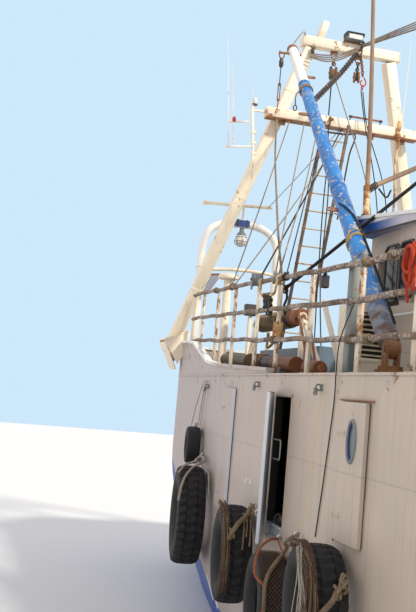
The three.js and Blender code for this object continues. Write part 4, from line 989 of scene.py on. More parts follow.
def tyre_axes(name):
    """Centre and the three directions of a tyre: its axle outboard, level forward, and up."""
    x, z = TYRES[name][:2]
    low, high = (np.array(v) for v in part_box(name))
    centre = (low + high) / 2
    centre[2] = z
    s = -1 if centre[1] < 0 else 1
    slope = float(beam_at(x + 0.3, 1.5) - beam_at(x - 0.3, 1.5)) / 0.6
    yaw = (math.atan(slope) + TYRE_TURN) * s
    axle = np.array((-math.sin(yaw), math.cos(yaw), 0.0)) * s
    up = np.array(UP, float)
    return centre, axle, np.cross(up, axle) * -s, up


def build_tyre(name, r, width, ribs):
    """Ring whose section is the tyre's outline. Between grooves the tread blocks stand out where a clipped
    sine of the angle, shifted by a zigzag of the distance across, is high; two grooves run round."""
    centre, axis, level, up = tyre_axes(name)
    across = np.r_[-TREAD_HALF[::-1], TREAD_HALF]
    tread = 0.985 - 0.085 * np.abs(across) ** 4
    tread = tread - GROOVE_DEEP * ((np.abs(np.abs(across) - GROOVE_AT) < 0.04) & (ribs > 0))
    section = np.concatenate([WALL, np.c_[tread, across], WALL[::-1] * (1, -1), INSIDE])
    steps = max(72, ribs * 8)
    a = np.arange(steps) / steps * 2 * math.pi
    rad = np.broadcast_to(section[None, :, 0], (steps, len(section))).copy()
    if ribs:
        zigzag = 2.4 * np.abs(((section[:, 1] * 2.2) % 2) - 1)
        wave = np.clip(2.6 * np.sin(ribs * a[:, None] + zigzag[None, :]) + 0.5, -1, 1)
        lugs = (section[:, 0] > 0.86) & (np.abs(section[:, 1]) < 0.95)
        rad += LUG_DEEP * lugs[None, :] * (wave - 1.0)
    around = np.cos(a)[:, None] * level + np.sin(a)[:, None] * up
    wheel = centre + r * 0.99 * rad[..., None] * around[:, None]
    p = wheel + (width / 2 * 0.985) * section[None, :, 1:] * axis
    shape = Shape()
    shape.grid(p, wrap_u=True, wrap_v=True)
    shape.piece(name.replace("tyre", "fender"), "rubber", slot="rubber", replaces=[name])


for name, (_, _, *sizes) in TYRES.items():
    build_tyre(name, *sizes)


def skin(x, z, out=0.0):
    """Point on the starboard plating, moved outboard."""
    return np.array((x, -float(beam_at(x, z)) - out, z))


def tyre_point(name, turn, across, out=0.0):
    """Point on a tyre's tread: turn in degrees from its top toward the bow, across from -1 to 1 along the
    axle."""
    centre, axis, level, up = tyre_axes(name)
    r, width = TYRES[name][2:4]
    a = math.radians(turn)
    return centre + (r + out) * (math.sin(a) * level + math.cos(a) * up) + axis * across * width / 2


def tassel(shape, points, r, count, spread, seed, fine, ink=0):
    """Frayed bundle: thin tubes follow a smooth line, each kept off it by a fixed part and a slow wave."""
    rng = np.random.default_rng(seed)
    n = 26
    path = curve(points, n)
    t = np.linspace(0, 1, n)[:, None]
    for _ in range(count):
        start = rng.normal(0, 1, 3) * r
        phase = rng.uniform(0, 6.3, 3)
        pull = rng.normal(0, 1, 3) * spread
        end = rng.uniform(0.75, 1.0)
        p = path + start + pull * t**2 + 0.4 * r * np.sin(t * 9 + phase)
        shape.tube(p[: max(6, int(n * end))], fine * rng.uniform(0.7, 1.3), 4, ink=ink)


def netting(shape, p, r):
    """Diamond meshes over a sheet of points: twine follows both diagonals of the grid, a tube along each."""
    nu, nv = p.shape[:2]
    for way in (1, -1):
        for start in range(-nv, nu):
            i = np.arange(nv) + start
            ok = (i >= 0) & (i < nu)
            if ok.sum() >= 3:
                shape.tube(p[i[ok], np.arange(nv)[::way][ok]], r, 4)


# Side doors: x, half width, foot, head, degrees open, body
DOOR_LEAVES = {
    "side_door_aft": (DOOR_AFT_X, 0.33, 1.84, 3.50, 0.0, "side_door_aft_leaf"),
    "side_door_open": (DOOR_OPEN_X, 0.316, 1.835, 3.48, 21.0, "side_door_open_leaf"),
    "side_door_fore": (DOOR_FORE_X, 0.32, 2.20, 3.43, 0.0, "side_door_fore_leaf"),
}
LEAF_MID, LEAF_FACE, HINGE_OUT = -0.029, -0.049, 0.006


def on_leaf(name, local):
    """Points on a door leaf, given as forward, inboard and height while shut, turned outboard on its
    hinge."""
    x, w, _, _, degrees, _ = DOOR_LEAVES[name]
    a = -math.radians(degrees)
    hinge = np.array((-w - HINGE_OUT, LEAF_MID))
    p = np.array(local, float)
    d = p[..., :2] - hinge
    turned = np.stack([d[..., 0] * math.cos(a) - d[..., 1] * math.sin(a),
                       d[..., 0] * math.sin(a) + d[..., 1] * math.cos(a)], -1) + hinge
    return on_side(side_frame(x), np.concatenate([turned, p[..., 2:]], -1))


def leaf_bar(shape, name, a, b, width, depth, ink=0, edge=0.003):
    """Bar between two leaf points; its depth is along the leaf's inboard direction."""
    p = on_leaf(name, [a, b, (a[0], a[1] + 1.0, a[2])])
    shape.bar(p[0], p[1], width, depth, p[2] - p[0], edge, ink)


def side_bar(shape, frame_of, a, b, width, depth, up, edge, ink=0):
    """Bar between two points of a side frame."""
    p = on_side(frame_of, [a, b])
    shape.bar(p[0], p[1], width, depth, up, edge, ink)


def door_leaves():
    """A pale bar along each free edge, a painted highlight of the edge, in hull paint on the fore leaf; hinge
    straps and their bolts; the open leaf has a pale inner face."""
    for name, (_, w, z0, z1, degrees, body) in DOOR_LEAVES.items():
        shape = Shape()
        painted_edge = int(name == "side_door_fore")
        free = w + 0.004
        # free-edge bar: a painted highlight of the edge, pale except on the fore leaf
        leaf_bar(shape, name, (free, LEAF_MID, z0 + 0.01), (free, LEAF_MID, z1 - 0.01), 0.008, 0.036,
                 painted_edge)
        if degrees:
            leaf_bar(shape, name, (0.02, -0.0105, z0 + 0.02), (0.02, -0.0105, z1 - 0.02), 0.56, 0.003,
                     edge=0.001)
        for z in (z0 + 0.215, z1 - 0.285):
            leaf_bar(shape, name, (-w + 0.02, LEAF_FACE, z), (-w + 0.20, LEAF_FACE, z), 0.05, 0.008, 1)
            for dx in (0.05, 0.12, 0.17):
                p = on_leaf(name, [(-w + dx, -0.050, z), (-w + dx, -0.060, z)])
                shape.rod(p[0], p[1], 0.009, 6, ink=1, edge=0.002)
        shape.piece(f"{name}_edge", "pale_edge hull", body, slot="white")


def porthole_rings(fore):
    """Two oval rings on the fore leaf and bolts between them."""
    port = Shape()
    mid_x, mid_z, n = 0.055, 3.085, 48
    a = np.linspace(0, 2 * math.pi, n + 1)[:-1]

    def oval(rx, rz, y):
        """Mid point plus rx times the cosine and rz times the sine of equal steps, at a distance inboard."""
        return on_side(fore, np.c_[mid_x + rx * np.cos(a), np.full(n, y), mid_z + rz * np.sin(a)])

    port.tube(oval(0.092, 0.182, -0.050), 0.016, 8, ring=True, up=(0, -1, 0))
    port.tube(oval(0.069, 0.158, -0.049), 0.008, 8, ink=1, ring=True, up=(0, -1, 0))
    for foot, head in zip(oval(0.084, 0.174, -0.058)[::6], oval(0.084, 0.174, -0.066)[::6]):
        port.rod(foot, head, 0.007, 6, edge=0.002)
    port.piece("porthole_rings", "grey_paint lamp_blue", "side_door_fore_leaf", slot="grey_paint")


def build_side_doors():
    """The leaves' edges and straps, the grab handle, the trims round the doorways and the roll in the open
    one."""
    door_leaves()
    aft, doorway, fore = (side_frame(x) for x in (DOOR_AFT_X, DOOR_OPEN_X, DOOR_FORE_X))
    handle = Shape()
    y, z0, z1 = 0.02, 2.72, 2.94
    loop = on_side(doorway, [(-0.302, y, z0), (-0.07, y, z0), (-0.05, y, z0 + 0.02), (-0.05, y, z1 - 0.02),
                             (-0.07, y, z1), (-0.302, y, z1)])
    steps = [np.linspace(a, b, 5)[:-1] for a, b in zip(loop, loop[1:])]
    handle.tube(np.concatenate(steps + [loop[-1:]]), 0.008, 8)
    handle.piece("doorway_grab_handle", "white", slot="white")
    porthole_rings(fore)

    trim = Shape()
    # Bars: frame, ends, width, depth, upright, eased edge, ink
    for bar in ((fore, (-0.36, -0.012, 3.447), (0.40, -0.012, 3.447), 0.03, 0.014, UP, 0.004, 1),
                (fore, (-0.345, -0.003, 2.16), (-0.345, -0.003, 3.43), 0.008, 0.008, ACROSS, 0.002, 1),
                (aft, (-0.335, -0.003, 1.86), (-0.335, -0.003, 3.44), 0.012, 0.010, ACROSS, 0.002, 3),
                (aft, (-0.42, -0.003, 3.49), (-0.20, -0.003, 3.49), 0.012, 0.010, ACROSS, 0.002, 3),
                (doorway, (-0.33, 0.0, 1.86), (-0.33, 0.0, 3.44), 0.022, 0.012, ACROSS, 0.003),
                (doorway, (0.315, 0.0, 1.86), (0.315, 0.0, 3.44), 0.022, 0.012, ACROSS, 0.003),
                (doorway, (-0.33, 0.0, 3.452), (0.33, 0.0, 3.452), 0.012, 0.022, UP, 0.003),
                (doorway, (-0.30, 0.02, 2.004), (0.30, 0.02, 2.004), 0.05, 0.012, UP, 0.003, 2)):
        side_bar(trim, *bar)
    trim.piece("doorway_trim", "hull rust pale_edge rope_dark", slot="hull")

    roll = Shape()
    t = np.linspace(0, 1, 22)
    y, z = 0.10, 2.062
    path = on_side(doorway, np.c_[-0.24 + 0.46 * t, y + 0.01 * np.sin(9 * t), z + 0.012 * np.sin(7 * t)])
    roll.tube(path, 0.055 * np.sqrt(np.clip(1 - (2 * t - 1) ** 8, 0.05, 1)) + 0.005 * np.sin(40 * t), 12)
    for dx in (-0.12, 0.02, 0.16):
        c = on_side(doorway, [(dx, y, z), (dx + 0.02, y, z)])
        roll.rod(c[0], c[1], 0.064, 14, ink=1, edge=0.004)
    a = np.linspace(0, 2 * math.pi, 49)[:25]
    hoop = np.c_[0.02 + 0.17 * np.cos(a), np.full(25, 0.035), 2.012 + 0.12 * np.abs(np.sin(a))]
    roll.tube(on_side(doorway, hoop), 0.006, 6, ink=1)
    roll.piece("doorway_roll", "rope_dark grey_paint", slot="dark_steel")


build_side_doors()


# Fenders' lashings, nets and the lines on the side
def eye_on_side(shape, x, z, ink=0):
    """Welded eye: a small plate on the skin and a ring standing out of it."""
    p = skin(x, z)
    shape.bar(p + (-0.04, 0, 0), p + (0.04, 0, 0), 0.012, 0.07, UP, 0.003, ink)
    c = p - (0, 0.034, 0)
    shape.hoop(c, np.array((0, 0.030, 0)), np.array((0, 0, 0.030)), 0.009, AHEAD, 14, 6, ink)
    return c - (0, 0.03, 0.01)


def knot(shape, at, size, ink=0):
    """Knot: a tube wound as a trefoil about a point."""
    a = np.linspace(0, 2 * math.pi, 60)[:-1]
    x = np.sin(a) + 2 * np.sin(2 * a)
    y = np.cos(a) - 2 * np.cos(2 * a)
    p = np.array(at) + size / 3 * np.stack([x, -np.sin(3 * a), y], 1)
    shape.tube(p, size * 0.24, 6, ink=ink, ring=True, up=(0.3, 0.9, 0.2))


def round_tyre(name, rows):
    """Points on a tyre's tread, from rows of turn, place across and distance off it."""
    return [tyre_point(name, *values) for values in rows]


def tread_sheet(name, across, turns):
    """Sheet of points that lies on a tyre's tread."""
    return np.array([[tyre_point(name, u, v[0], v[1]) for v in across] for u in turns])


def side_eyes():
    """Welded eyes on the side with a knot in most; returns where lines can start."""
    eyes = Shape()
    places = ((-6.12, 2.445), (-2.74, 2.06), (-1.79, 1.93), (-1.22, 2.06))
    starts = [eye_on_side(eyes, x, z) for x, z in places]
    eye_on_side(eyes, -3.30, 2.36)
    for x, z in ((-6.12, 2.46), (-1.79, 1.94), (-1.22, 2.07)):
        knot(eyes, skin(x, z, 0.035), 0.035, ink=1)
    for x, z in ((-3.243, 3.56), (-0.906, 3.55), (-6.3, 3.5), (1.4, 3.55)):
        knot(eyes, eye_on_side(eyes, x, z, ink=2) + (0, 0, -0.03), 0.035, ink=2)
    eyes.piece("side_eyes", "white rope_pale grey_paint", slot="white")
    return starts


def build_lashings():
    """Ropes from the side's eyes round the tyres, old nets over them, and the dark line down the side."""
    e1, e2, e3, e4 = side_eyes()
    t0, t1, t2, t3, t4 = (f"tyre_starboard_{k}" for k in range(1, 6))
    rope = Shape()
    laid(rope, [e1, skin(-6.30, 2.36, 0.10),
                *round_tyre(t1, ((4, -0.2, 0.05), (16, 0.54, 0.03), (30, 1.02, 0.0)))], 0.018)
    laid(rope, [e1 + (0.02, 0, 0), *round_tyre(t1, ((6, -0.85, 0.07), (22, 0.0, 0.04), (47, 0.76, 0.02),
                                                    (68, 1.0, 0.0)))], 0.018)
    laid(rope, [e1 + (0.03, 0, -0.02), skin(-5.90, 2.26, 0.06),
                *round_tyre(t1, ((34, -1.05, 0.04), (60, -1.06, 0.02)))], 0.010)
    for dx, across in ((-0.10, 0.4), (0.06, -0.6), (0.20, -0.9)):
        top = skin(-6.45 + dx, 3.60, 0.03)
        half_way = (top + tyre_point(t0, 0, across, 0.02)) / 2 + (0, -0.01, 0)
        laid(rope, [top, half_way, tyre_point(t0, 2, across, 0.01)], 0.007)
    knot(rope, tyre_point(t0, 0, -0.3, 0.02), 0.04)
    rope.piece("lashings_aft", "rope_pale", slot="net")

    braid = Shape()
    path = [e2, *round_tyre(t2, ((22, -0.95, 0.05), (39, -0.40, 0.045), (48, 0.10, 0.04), (59, 0.50, 0.035),
                                 (66, 0.72, 0.03)))]
    laid(braid, path, 0.030, pitch=0.13)
    for at, size in ((1, 0.050), (2, 0.050), (4, 0.06)):
        knot(braid, path[at], size)
    for across, first, last in ((-0.34, 42, 74), (-0.80, 32, 70), (-0.58, 38, 60)):
        turns = (first, (first + last) / 2, last)
        run = [tyre_point(t2, turn, across + 0.08 * k, 0.02) for k, turn in enumerate(turns)]
        laid(braid, run, 0.009)
        knot(braid, run[-1], 0.018)
    braid.piece("lashing_plaited", "rope_tan", slot="net")

    orange = Shape()
    laid(orange, [e3, *round_tyre(t3, ((2, 0.10, 0.12), (18, 0.85, 0.08), (31, 1.16, 0.03), (53, 1.20, 0.02),
                                       (62, 0.80, 0.03), (90, 0.84, 0.02), (120, 0.86, 0.02)))], 0.014, n=60)
    laid(orange, [e3 + (0.02, 0, 0), *round_tyre(t3, ((4, -0.7, 0.02), (24, -0.75, 0.015)))], 0.010)
    orange.piece("lashing_orange", "rope_orange", slot="net")

    thick = Shape()
    laid(thick, [e4, skin(-1.35, 1.95, 0.12),
                 *round_tyre(t3, ((11, -0.90, 0.09), (30, -0.25, 0.06), (46, 0.38, 0.05), (58, 0.68, 0.04),
                                  (76, 0.78, 0.04), (110, 0.66, 0.03)))], 0.021, n=60, pitch=0.10)
    laid(thick, [e4 + (0.02, 0, 0), skin(-1.0, 1.98, 0.08),
                 *round_tyre(t4, ((-52, -0.2, 0.04), (-40, 0.5, 0.03)))], 0.014)
    thick.piece("lashing_thick", "rope_tan", slot="net")

    old = Shape()
    netting(old, tread_sheet(t2, [(v, 0.012) for v in np.linspace(0.60, 1.04, 5)], np.linspace(8, 128, 34)),
            0.004)
    for k, across in enumerate((0.72, 0.88, 1.0)):
        line = [tyre_point(t2, u, across, 0.02) for u in (0, 30, 62, 96, 130)]
        tassel(old, line, 0.012, 9, 0.03, 11 + k, ink=int(k == 1), fine=0.0035)
    old.piece("old_net_aft", "net_brown rope_tan", slot="net")

    fray = Shape()
    run = ((-24, -0.02), (20, -0.02), (56, 0.03), (90, 0.03), (124, 0.03))
    for k, across in enumerate((0.72, 0.86, 0.98, 1.06)):
        line = [tyre_point(t4, u, across, out) for u, out in run]
        tassel(fray, line, 0.016, 11, 0.04, 31 + k, ink=int(k == 1), fine=0.0045)
    netting(fray, tread_sheet(t4, [(v, 0.010) for v in np.linspace(0.55, 1.02, 6)],
                              np.linspace(-20, 120, 34)), 0.004)
    tassel(fray, round_tyre(t4, ((24, 1.16, 0.03), (60, 1.32, 0.0), (104, 1.40, -0.02))), 0.014, 12, 0.05, 51,
           ink=2, fine=0.005)
    fray.piece("old_net_fore", "net_brown rope_tan rope_pale", slot="net")

    mesh = Shape()
    netting(mesh, tread_sheet(t3, [(v, 0.010) for v in np.linspace(-0.6, 1.0, 8)], np.linspace(2, 124, 26)),
            0.003)
    mesh.piece("fender_net", "net_brown", slot="net")

    low = Shape()
    run = round_tyre(t4, ((52, -0.62, 0.03), (66, -0.36, 0.05), (76, 0.0, 0.05), (90, 0.62, 0.04),
                          (112, 1.0, 0.02)))
    laid(low, run, 0.026, pitch=0.11)
    for shift in (-0.02, 0.03):
        knot(low, run[1] + (0, shift, shift), 0.06)
    low.piece("lashing_low", "rope_tan", slot="net")

    line = Shape()
    down = [skin(*row) for row in ((-0.40, 3.95, 0.045), (-0.46, 3.72, 0.030), (-0.50, 3.50, 0.012),
                                   (-0.56, 3.10, 0.010), (-0.65, 2.62, 0.010), (-0.752, 2.12, 0.010))]
    laid(line, [rail_point(-0.30, (0.66, 0.0), -1, 0.12), *down], 0.006, n=80, pitch=0.04)
    line.piece("side_line", "rope_dark", slot="net")

    scuffs = Shape()
    for x, z, long in ((-5.62, 0.74, 0.30), (-5.30, 0.62, 0.22)):
        scuffs.bar(skin(x, z, 0.004), skin(x + 0.25, z - long, 0.004), 0.03, 0.006, ACROSS, 0.002)
    scuffs.piece("boot_scuffs", "white", slot="white")


build_lashings()


# Deckhouse
WALL_Y, WALL_AFT, WALL_FORE, SILL, PANE_TOP = 1.75, -2.55, 3.60, 4.62, 5.20


def wall_window(shape, corner, along, width, height, out):
    """Framed pane on a wall: the pane is a grid whose middle stands out by a product of sines, the frame a
    bar carried round it."""
    corner, along, across, out = (np.array(v, float) for v in (corner, along, UP, out))
    t = np.linspace(0, 1, 9)
    u, v = np.meshgrid(t, t, indexing="ij")
    k, rim, bulge = 0.05, 0.035, 0.004
    swell = bulge * np.sin(math.pi * u) * np.sin(math.pi * v)
    u, v, proud = u[..., None], v[..., None], (0.004 + swell)[..., None]
    p = corner + u * width * along + v * height * across + proud * out
    flip = np.dot(np.cross(along, across), out) < 0
    shape.grid(p, ink=1, flip=bool(flip))
    w, h = width - k, height - k
    ring = np.array([(k, 0), (w, 0), (width, k), (width, h), (w, height), (k, height), (0, h), (0, k)])
    path = corner + ring[:, :1] * along + ring[:, 1:] * across + 0.004 * out
    shape.carried(rounded(0.020, rim, 0.006, 2), path, out, ring=True)


def house_windows():
    """Framed panes in the side, front and after walls."""
    shape = Shape()
    for s in (-1, 1):
        for x0, x1, top in ((-2.12, -1.78, 5.27), (-1.73, -1.41, 5.27), (1.15, 1.75, PANE_TOP),
                            (1.95, 2.55, PANE_TOP), (2.75, 3.35, PANE_TOP)):
            wall_window(shape, (x0, s * WALL_Y, SILL), AHEAD, x1 - x0, top - SILL, (0, s, 0))
    for y0 in (-1.50, -0.88, -0.26, 0.36, 0.98):
        wall_window(shape, (WALL_FORE, y0, 4.55), ACROSS, 0.52, 0.66, (1, 0, 0))
    for y0 in (-1.30, 0.70):
        wall_window(shape, (WALL_AFT, y0, SILL), ACROSS, 0.60, 0.55, (-1, 0, 0))
    shape.piece("house_windows", "window_frame glass", slot="white")


def roof_rim():
    """A white drip edge and a dark bead round the roof, and grab rails on the walls."""
    trim = Shape()
    aft, bend, fore = (-2.60, 1.95, 5.675), (-1.30, 1.81, 5.556), (4.03, 1.81, 5.546)
    rail_y, rail_z = 1.80, 4.44
    for s in (-1, 1):
        side = (1, s, 1)
        edge = np.r_[np.linspace(aft, bend, 16), np.linspace(bend, fore, 40)[1:]] * side
        trim.carried(rounded(0.022, 0.046, 0.006, 2), edge, UP)
        trim.carried(rounded(0.016, 0.020, 0.005, 2), edge * (1, 1, 0) + (0, 0, 5.447), UP, ink=1)
        trim.rod((-2.3, s * rail_y, rail_z), (-0.05, s * rail_y, rail_z), 0.014, 10, edge=0.003)
        for x in (-2.2, -1.2, -0.2):
            trim.rod((x, s * (WALL_Y - 0.005), rail_z), (x, s * rail_y, rail_z), 0.009, 8)
    for x, y, z in (aft, fore):
        trim.bar((x, -y + 0.01, z), (x, y - 0.01, z), 0.022, 0.046, UP, 0.006)
    trim.piece("roof_rim", "white dark_steel", slot="white")


def louvre_box():
    """Casing with an opening filled by a near-black sheet of painted shade, crossed by sloping slats with
    rusty undersides.
    """
    box = Shape()
    (x0, x1), (y0, y1), foot, top = (-2.40, -1.96), (-2.175, -1.7505), 3.7005, 4.56
    m0, m1, rim, skin_x, slats = 3.95, 4.47, 0.026, x1 - 0.06, 9
    box.block((x0, y0, foot), (skin_x, y1, top), 0.006)
    box.block((skin_x, y0, foot), (x1, y1, m0), 0.005)
    box.block((skin_x, y0, m1), (x1, y1, top), 0.005)
    box.block((skin_x, y0, m0), (x1, y0 + rim, m1), 0.004)
    box.block((skin_x, y1 - rim, m0), (x1, y1, m1), 0.004)
    y = np.linspace(y0 + rim, y1 - rim, 6)
    z = np.linspace(m0, m1, 8)
    # near-black sheet behind the slats: painted shade
    box.grid(np.stack(np.broadcast_arrays(np.array(x1 - 0.055), y[:, None], z[None, :]), -1), ink=1)
    slope = (0.35, 0, 0.94)
    for k in range(slats):
        zc = m0 + (k + 0.62) * (m1 - m0) / slats
        a, b = np.array((x1 - 0.026, y0 + 0.02, zc)), np.array((x1 - 0.026, y1 - 0.02, zc))
        under = (-0.004, 0, -0.006)
        box.bar(a, b, 0.050, 0.007, slope, 0.002)
        box.bar(a + under, b + under, 0.046, 0.004, slope, 0.001, ink=2)
    box.bar((x1 + 0.006, y0 + 0.03, 3.92), (x1 + 0.006, y1 - 0.03, 3.92), 0.012, 0.03, UP, 0.004)
    box.piece("louvre_box", "cream dark_room gold_brown", slot="cream", replaces=["louvre_casing"])


def roof_spar():
    """Tapered wooden pole in a socket, with a bent bar lashed to it and a strut under the bar's end."""
    spar = Shape()
    rust, gold, dark = 1, 2, 3
    foot, head = np.array((-2.45, -1.90, 5.69)), np.array((-2.69, -1.96, 9.98))
    t = np.linspace(0, 1, 24)[:, None]
    path = foot + (head - foot) * t + np.array((0.010, 0.010, 0)) * np.sin(t * 5)
    spar.tube(path, 0.030 - 0.009 * t[:, 0], 10)
    spar.turned([(0.0, 0.0), (0.06, 0.0), (0.06, 0.012), (0.042, 0.02), (0.038, 0.34), (0.0, 0.34)], foot,
                (-0.056, -0.014, 1), 14, ink=gold)
    bar = np.array([(-2.47, -1.90, 6.02), (-2.50, -1.31, 6.35), (-2.50, -0.90, 6.58)])
    spar.tube(curve(bar, 20), 0.030, 10)
    spar.rod(bar[2] + (0, 0, 0.03), (-2.48, -0.90, 5.66), 0.022, 8, ink=rust)
    spar.rod(bar[0] - (0, 0, 0.03), bar[0] + (0, 0, 0.04), 0.046, 12, ink=rust, edge=0.006)
    for k in range(5):
        around = bar[0] + (0.01, 0.03 + 0.02 * k, 0.015 * k)
        spar.hoop(around, np.array((0.040, 0, 0)), np.array((0, -0.016, 0.036)), 0.006, (0, 0.9, 0.4), 18, 5,
                  dark)
    laid(spar, [bar[0] + (0.02, 0.14, 0.02), bar[0] + (0.05, 0.24, -0.08), bar[0] + (0.03, 0.30, 0.02)],
         0.012, ink=dark)
    spar.piece("roof_spar", "spar_wood rust gold_brown rope_dark", slot="varnish", replaces=["roof_pole"])


house_windows()
roof_rim()
louvre_box()
roof_spar()


# Lamp arch at the stern
ARCH_X, ARCH_Y0, ARCH_Y1, ARCH_SPRING, ARCH_RISE, ARCH_POWER = -9.90, -2.15, -0.58, 6.17, 0.69, 0.72


def build_arch():
    """Bent pipe: two uprights joined by a superellipse, with flanges, a junction box, a lantern and a cross
    spar."""
    x, legs, mid = ARCH_X, (ARCH_Y0, ARCH_Y1), (ARCH_Y0 + ARCH_Y1) / 2
    half = (ARCH_Y1 - ARCH_Y0) / 2
    pipe = Shape()
    a = np.linspace(math.pi, 0, 41)
    across = np.sign(np.cos(a)) * np.abs(np.cos(a)) ** ARCH_POWER
    rise = np.sin(a).clip(0) ** ARCH_POWER
    bend = np.c_[np.full(41, x), mid + half * across, ARCH_SPRING + ARCH_RISE * rise]
    up_leg = [(x, ARCH_Y0, z) for z in (DECK, 4.9, 6.0)]
    down_leg = [(x, ARCH_Y1, z) for z in (6.0, 4.9, DECK)]
    pipe.tube(np.concatenate([up_leg, bend, down_leg]), 0.078, 18, up=AHEAD)
    for y in legs:
        pipe.rod((x, y, 6.06), (x, y, 6.075), 0.082, 18, edge=0.003)
    pipe.piece("arch_pipe", "white", slot="white", replaces=["lamp_arch"])

    box = Shape()
    box.block((x - 0.085, -1.72, 6.80), (x + 0.085, -1.22, 6.935), 0.012)
    for y in (-1.66, -1.47, -1.28):
        box.block((x - 0.095, y - 0.016, 6.79), (x + 0.095, y + 0.016, 6.945), 0.004, ink=1)
    box.piece("arch_box", "lamp_blue dark_steel", slot="fascia_blue")

    lamp = Shape()
    c = np.array((x, -1.36, 6.46))
    hood = [(0.0, 0.34), (0.035, 0.34), (0.045, 0.30), (0.05, 0.24), (0.085, 0.21), (0.10, 0.17), (0.0, 0.17)]
    globe = [(0.0, 0.17), (0.085, 0.17), (0.115, 0.12), (0.125, 0.06), (0.115, 0.01), (0.08, -0.03),
             (0.0, -0.045)]
    lamp.turned(hood, c, sides=18, ink=1)
    lamp.turned(globe, c, sides=22)
    a = np.linspace(0, math.pi, 15)[1:]
    for t in np.arange(6) * math.pi / 3:
        out = 0.137 * np.sin(a)
        lamp.tube(c + np.stack([out * math.cos(t), out * math.sin(t), 0.055 + 0.115 * np.cos(a)], 1), 0.005,
                  5, ink=1)
    for z, r in ((0.13, 0.120), (0.04, 0.134), (-0.02, 0.105)):
        lamp.hoop(c + (0, 0, z), np.array((r, 0, 0)), np.array((0, r, 0)), 0.005, UP, 24, 5, 1)
    lamp.piece("arch_lantern", "lamp_glass grey_paint", slot="grey_paint", replaces=["arch_lamp"])

    spar = Shape()
    spar.rod((x, -1.36, 6.90), (x, -1.36, 7.26), 0.026, 10)
    spar.rod((x, -2.20, 7.20), (x, -0.76, 7.28), 0.036, 14, edge=0.01)
    spar.rod((x, -2.22, 7.199), (x, -2.14, 7.204), 0.046, 14, edge=0.006)
    spar.rod((x, -1.48, 7.24), (x, -1.44, 7.242), 0.048, 12, ink=1, edge=0.006)
    t = np.linspace(0, 1, 16)[:, None]
    lean, swell = np.array((0, 2 * half, 0.06)), np.array((0, 0, 0.05))
    cross = np.array((x, ARCH_Y0, 5.84)) + lean * t + swell * np.sin(math.pi * t)
    spar.tube(cross, 0.035, 12)
    for y in legs:
        spar.rod((x, y, 5.80), (x, y, 5.90), 0.090, 16, edge=0.006)
        spar.rod((x, y, DECK), (x, y, DECK + 0.02), 0.14, 16, edge=0.006)
    spar.piece("arch_spars", "cream rust", slot="cream")

    rack = Shape()
    low, high = np.array((-9.72, -2.25, 5.33)), np.array((-9.72, -1.99, 5.75))
    side, slats = np.array((0, 0.24, 0.03)), 6
    for k in range(slats):
        shift = side * k / (slats - 1)
        rack.bar(low + shift, high + shift, 0.022, 0.030, AHEAD, 0.004, ink=k % 2)
    for t in (0.03, 0.97):
        a = low + (high - low) * t
        rack.bar(a - side * 0.06, a + side * 1.06, 0.035, 0.035, AHEAD, 0.005)
    for a, b in (((-9.72, -2.20, 5.42), (x, -2.16, 5.42)), ((-9.72, -2.06, 5.62), (x, -2.14, 5.62))):
        rack.bar(a, b, 0.03, 0.03, UP, 0.004)
    rack.piece("slatted_rack", "dark_steel rust", slot="dark_steel")


build_arch()


# Gantry gear
def chain(shape, points, link, r, ink=0):
    """Chain: oval rings of round wire stand along a smooth line, every other one turned a quarter."""
    path = curve(points, 60)
    for k, at in enumerate(np.arange(link / 2, travelled(path)[-1] - link / 3, link * 0.72)):
        centre = spaced(path, at)
        ahead = unit(spaced(path, at + 0.02) - centre + 1e-9)
        side, top = square_to(ahead, least(ahead))
        turn, other = (side, top) if k % 2 else (top, side)
        shape.hoop(centre, ahead * link / 2, turn * link * 0.33, r, other, 10, 5, ink)
    return shape


def shackle(shape, top, size, across, down=(0, 0, -1), ink=0):
    """Bow shackle: a bent bar, open toward its pin; the pin runs through both eyes."""
    top, across, down = np.array(top, float), unit(np.array(across, float)), unit(np.array(down, float))
    a = np.linspace(-0.5, math.pi + 0.5, 15)
    fall, swing = size * (0.55 + 0.5 * np.sin(a)), size * 0.42 * np.cos(a)
    bow = top + down * fall[:, None] + across * swing[:, None]
    shape.tube(bow, size * 0.11, 7, ink=ink, up=np.cross(across, down))
    pin, half = top + down * size * 0.30, across * size * 0.55
    shape.rod(pin - half, pin + half, size * 0.10, 8, ink=ink, edge=0.002)
    return top + down * size


def sheave_block(shape, top, size, across, ink=0, metal=1):
    """Block: two oval cheeks with rounded rims either side of a grooved wheel, hung from an eye."""
    top, across = np.array(top, float), unit(np.array(across, float))
    ahead = np.cross(across, HANG)
    centre = top + HANG * size * 0.75
    a = np.arange(24) / 24 * 2 * math.pi
    oval = np.cos(a)[:, None] * ahead * size * 0.36 + np.sin(a)[:, None] * HANG * size * 0.55
    for s in (-1, 1):
        cheek = [(0.15, 0.90), (0.13, 1.0), (0.25, 1.0), (0.29, 0.88)]
        p = np.stack([centre + across * s * size * at + oval * part for at, part in cheek])
        shape.grid(p, wrap_v=True, caps=True, ink=ink)
        strap = centre + across * s * size * 0.29
        ends = strap - HANG * size * 0.5, strap + HANG * size * 0.45
        shape.bar(*ends, size * 0.12, size * 0.05, across, 0.003, metal)
    wheel = [(0.0, -0.12), (0.40, -0.12), (0.33, -0.04), (0.33, 0.04), (0.40, 0.12), (0.0, 0.12)]
    shape.turned(np.array(wheel) * size, centre, across, 20, ink=metal)
    half = across * size * 0.36
    shape.rod(centre - half, centre + half, size * 0.09, 8, ink=metal, edge=0.002)
    shape.hoop(top, across * size * 0.14, HANG * size * 0.14, size * 0.05, ahead, 14, 6, metal)


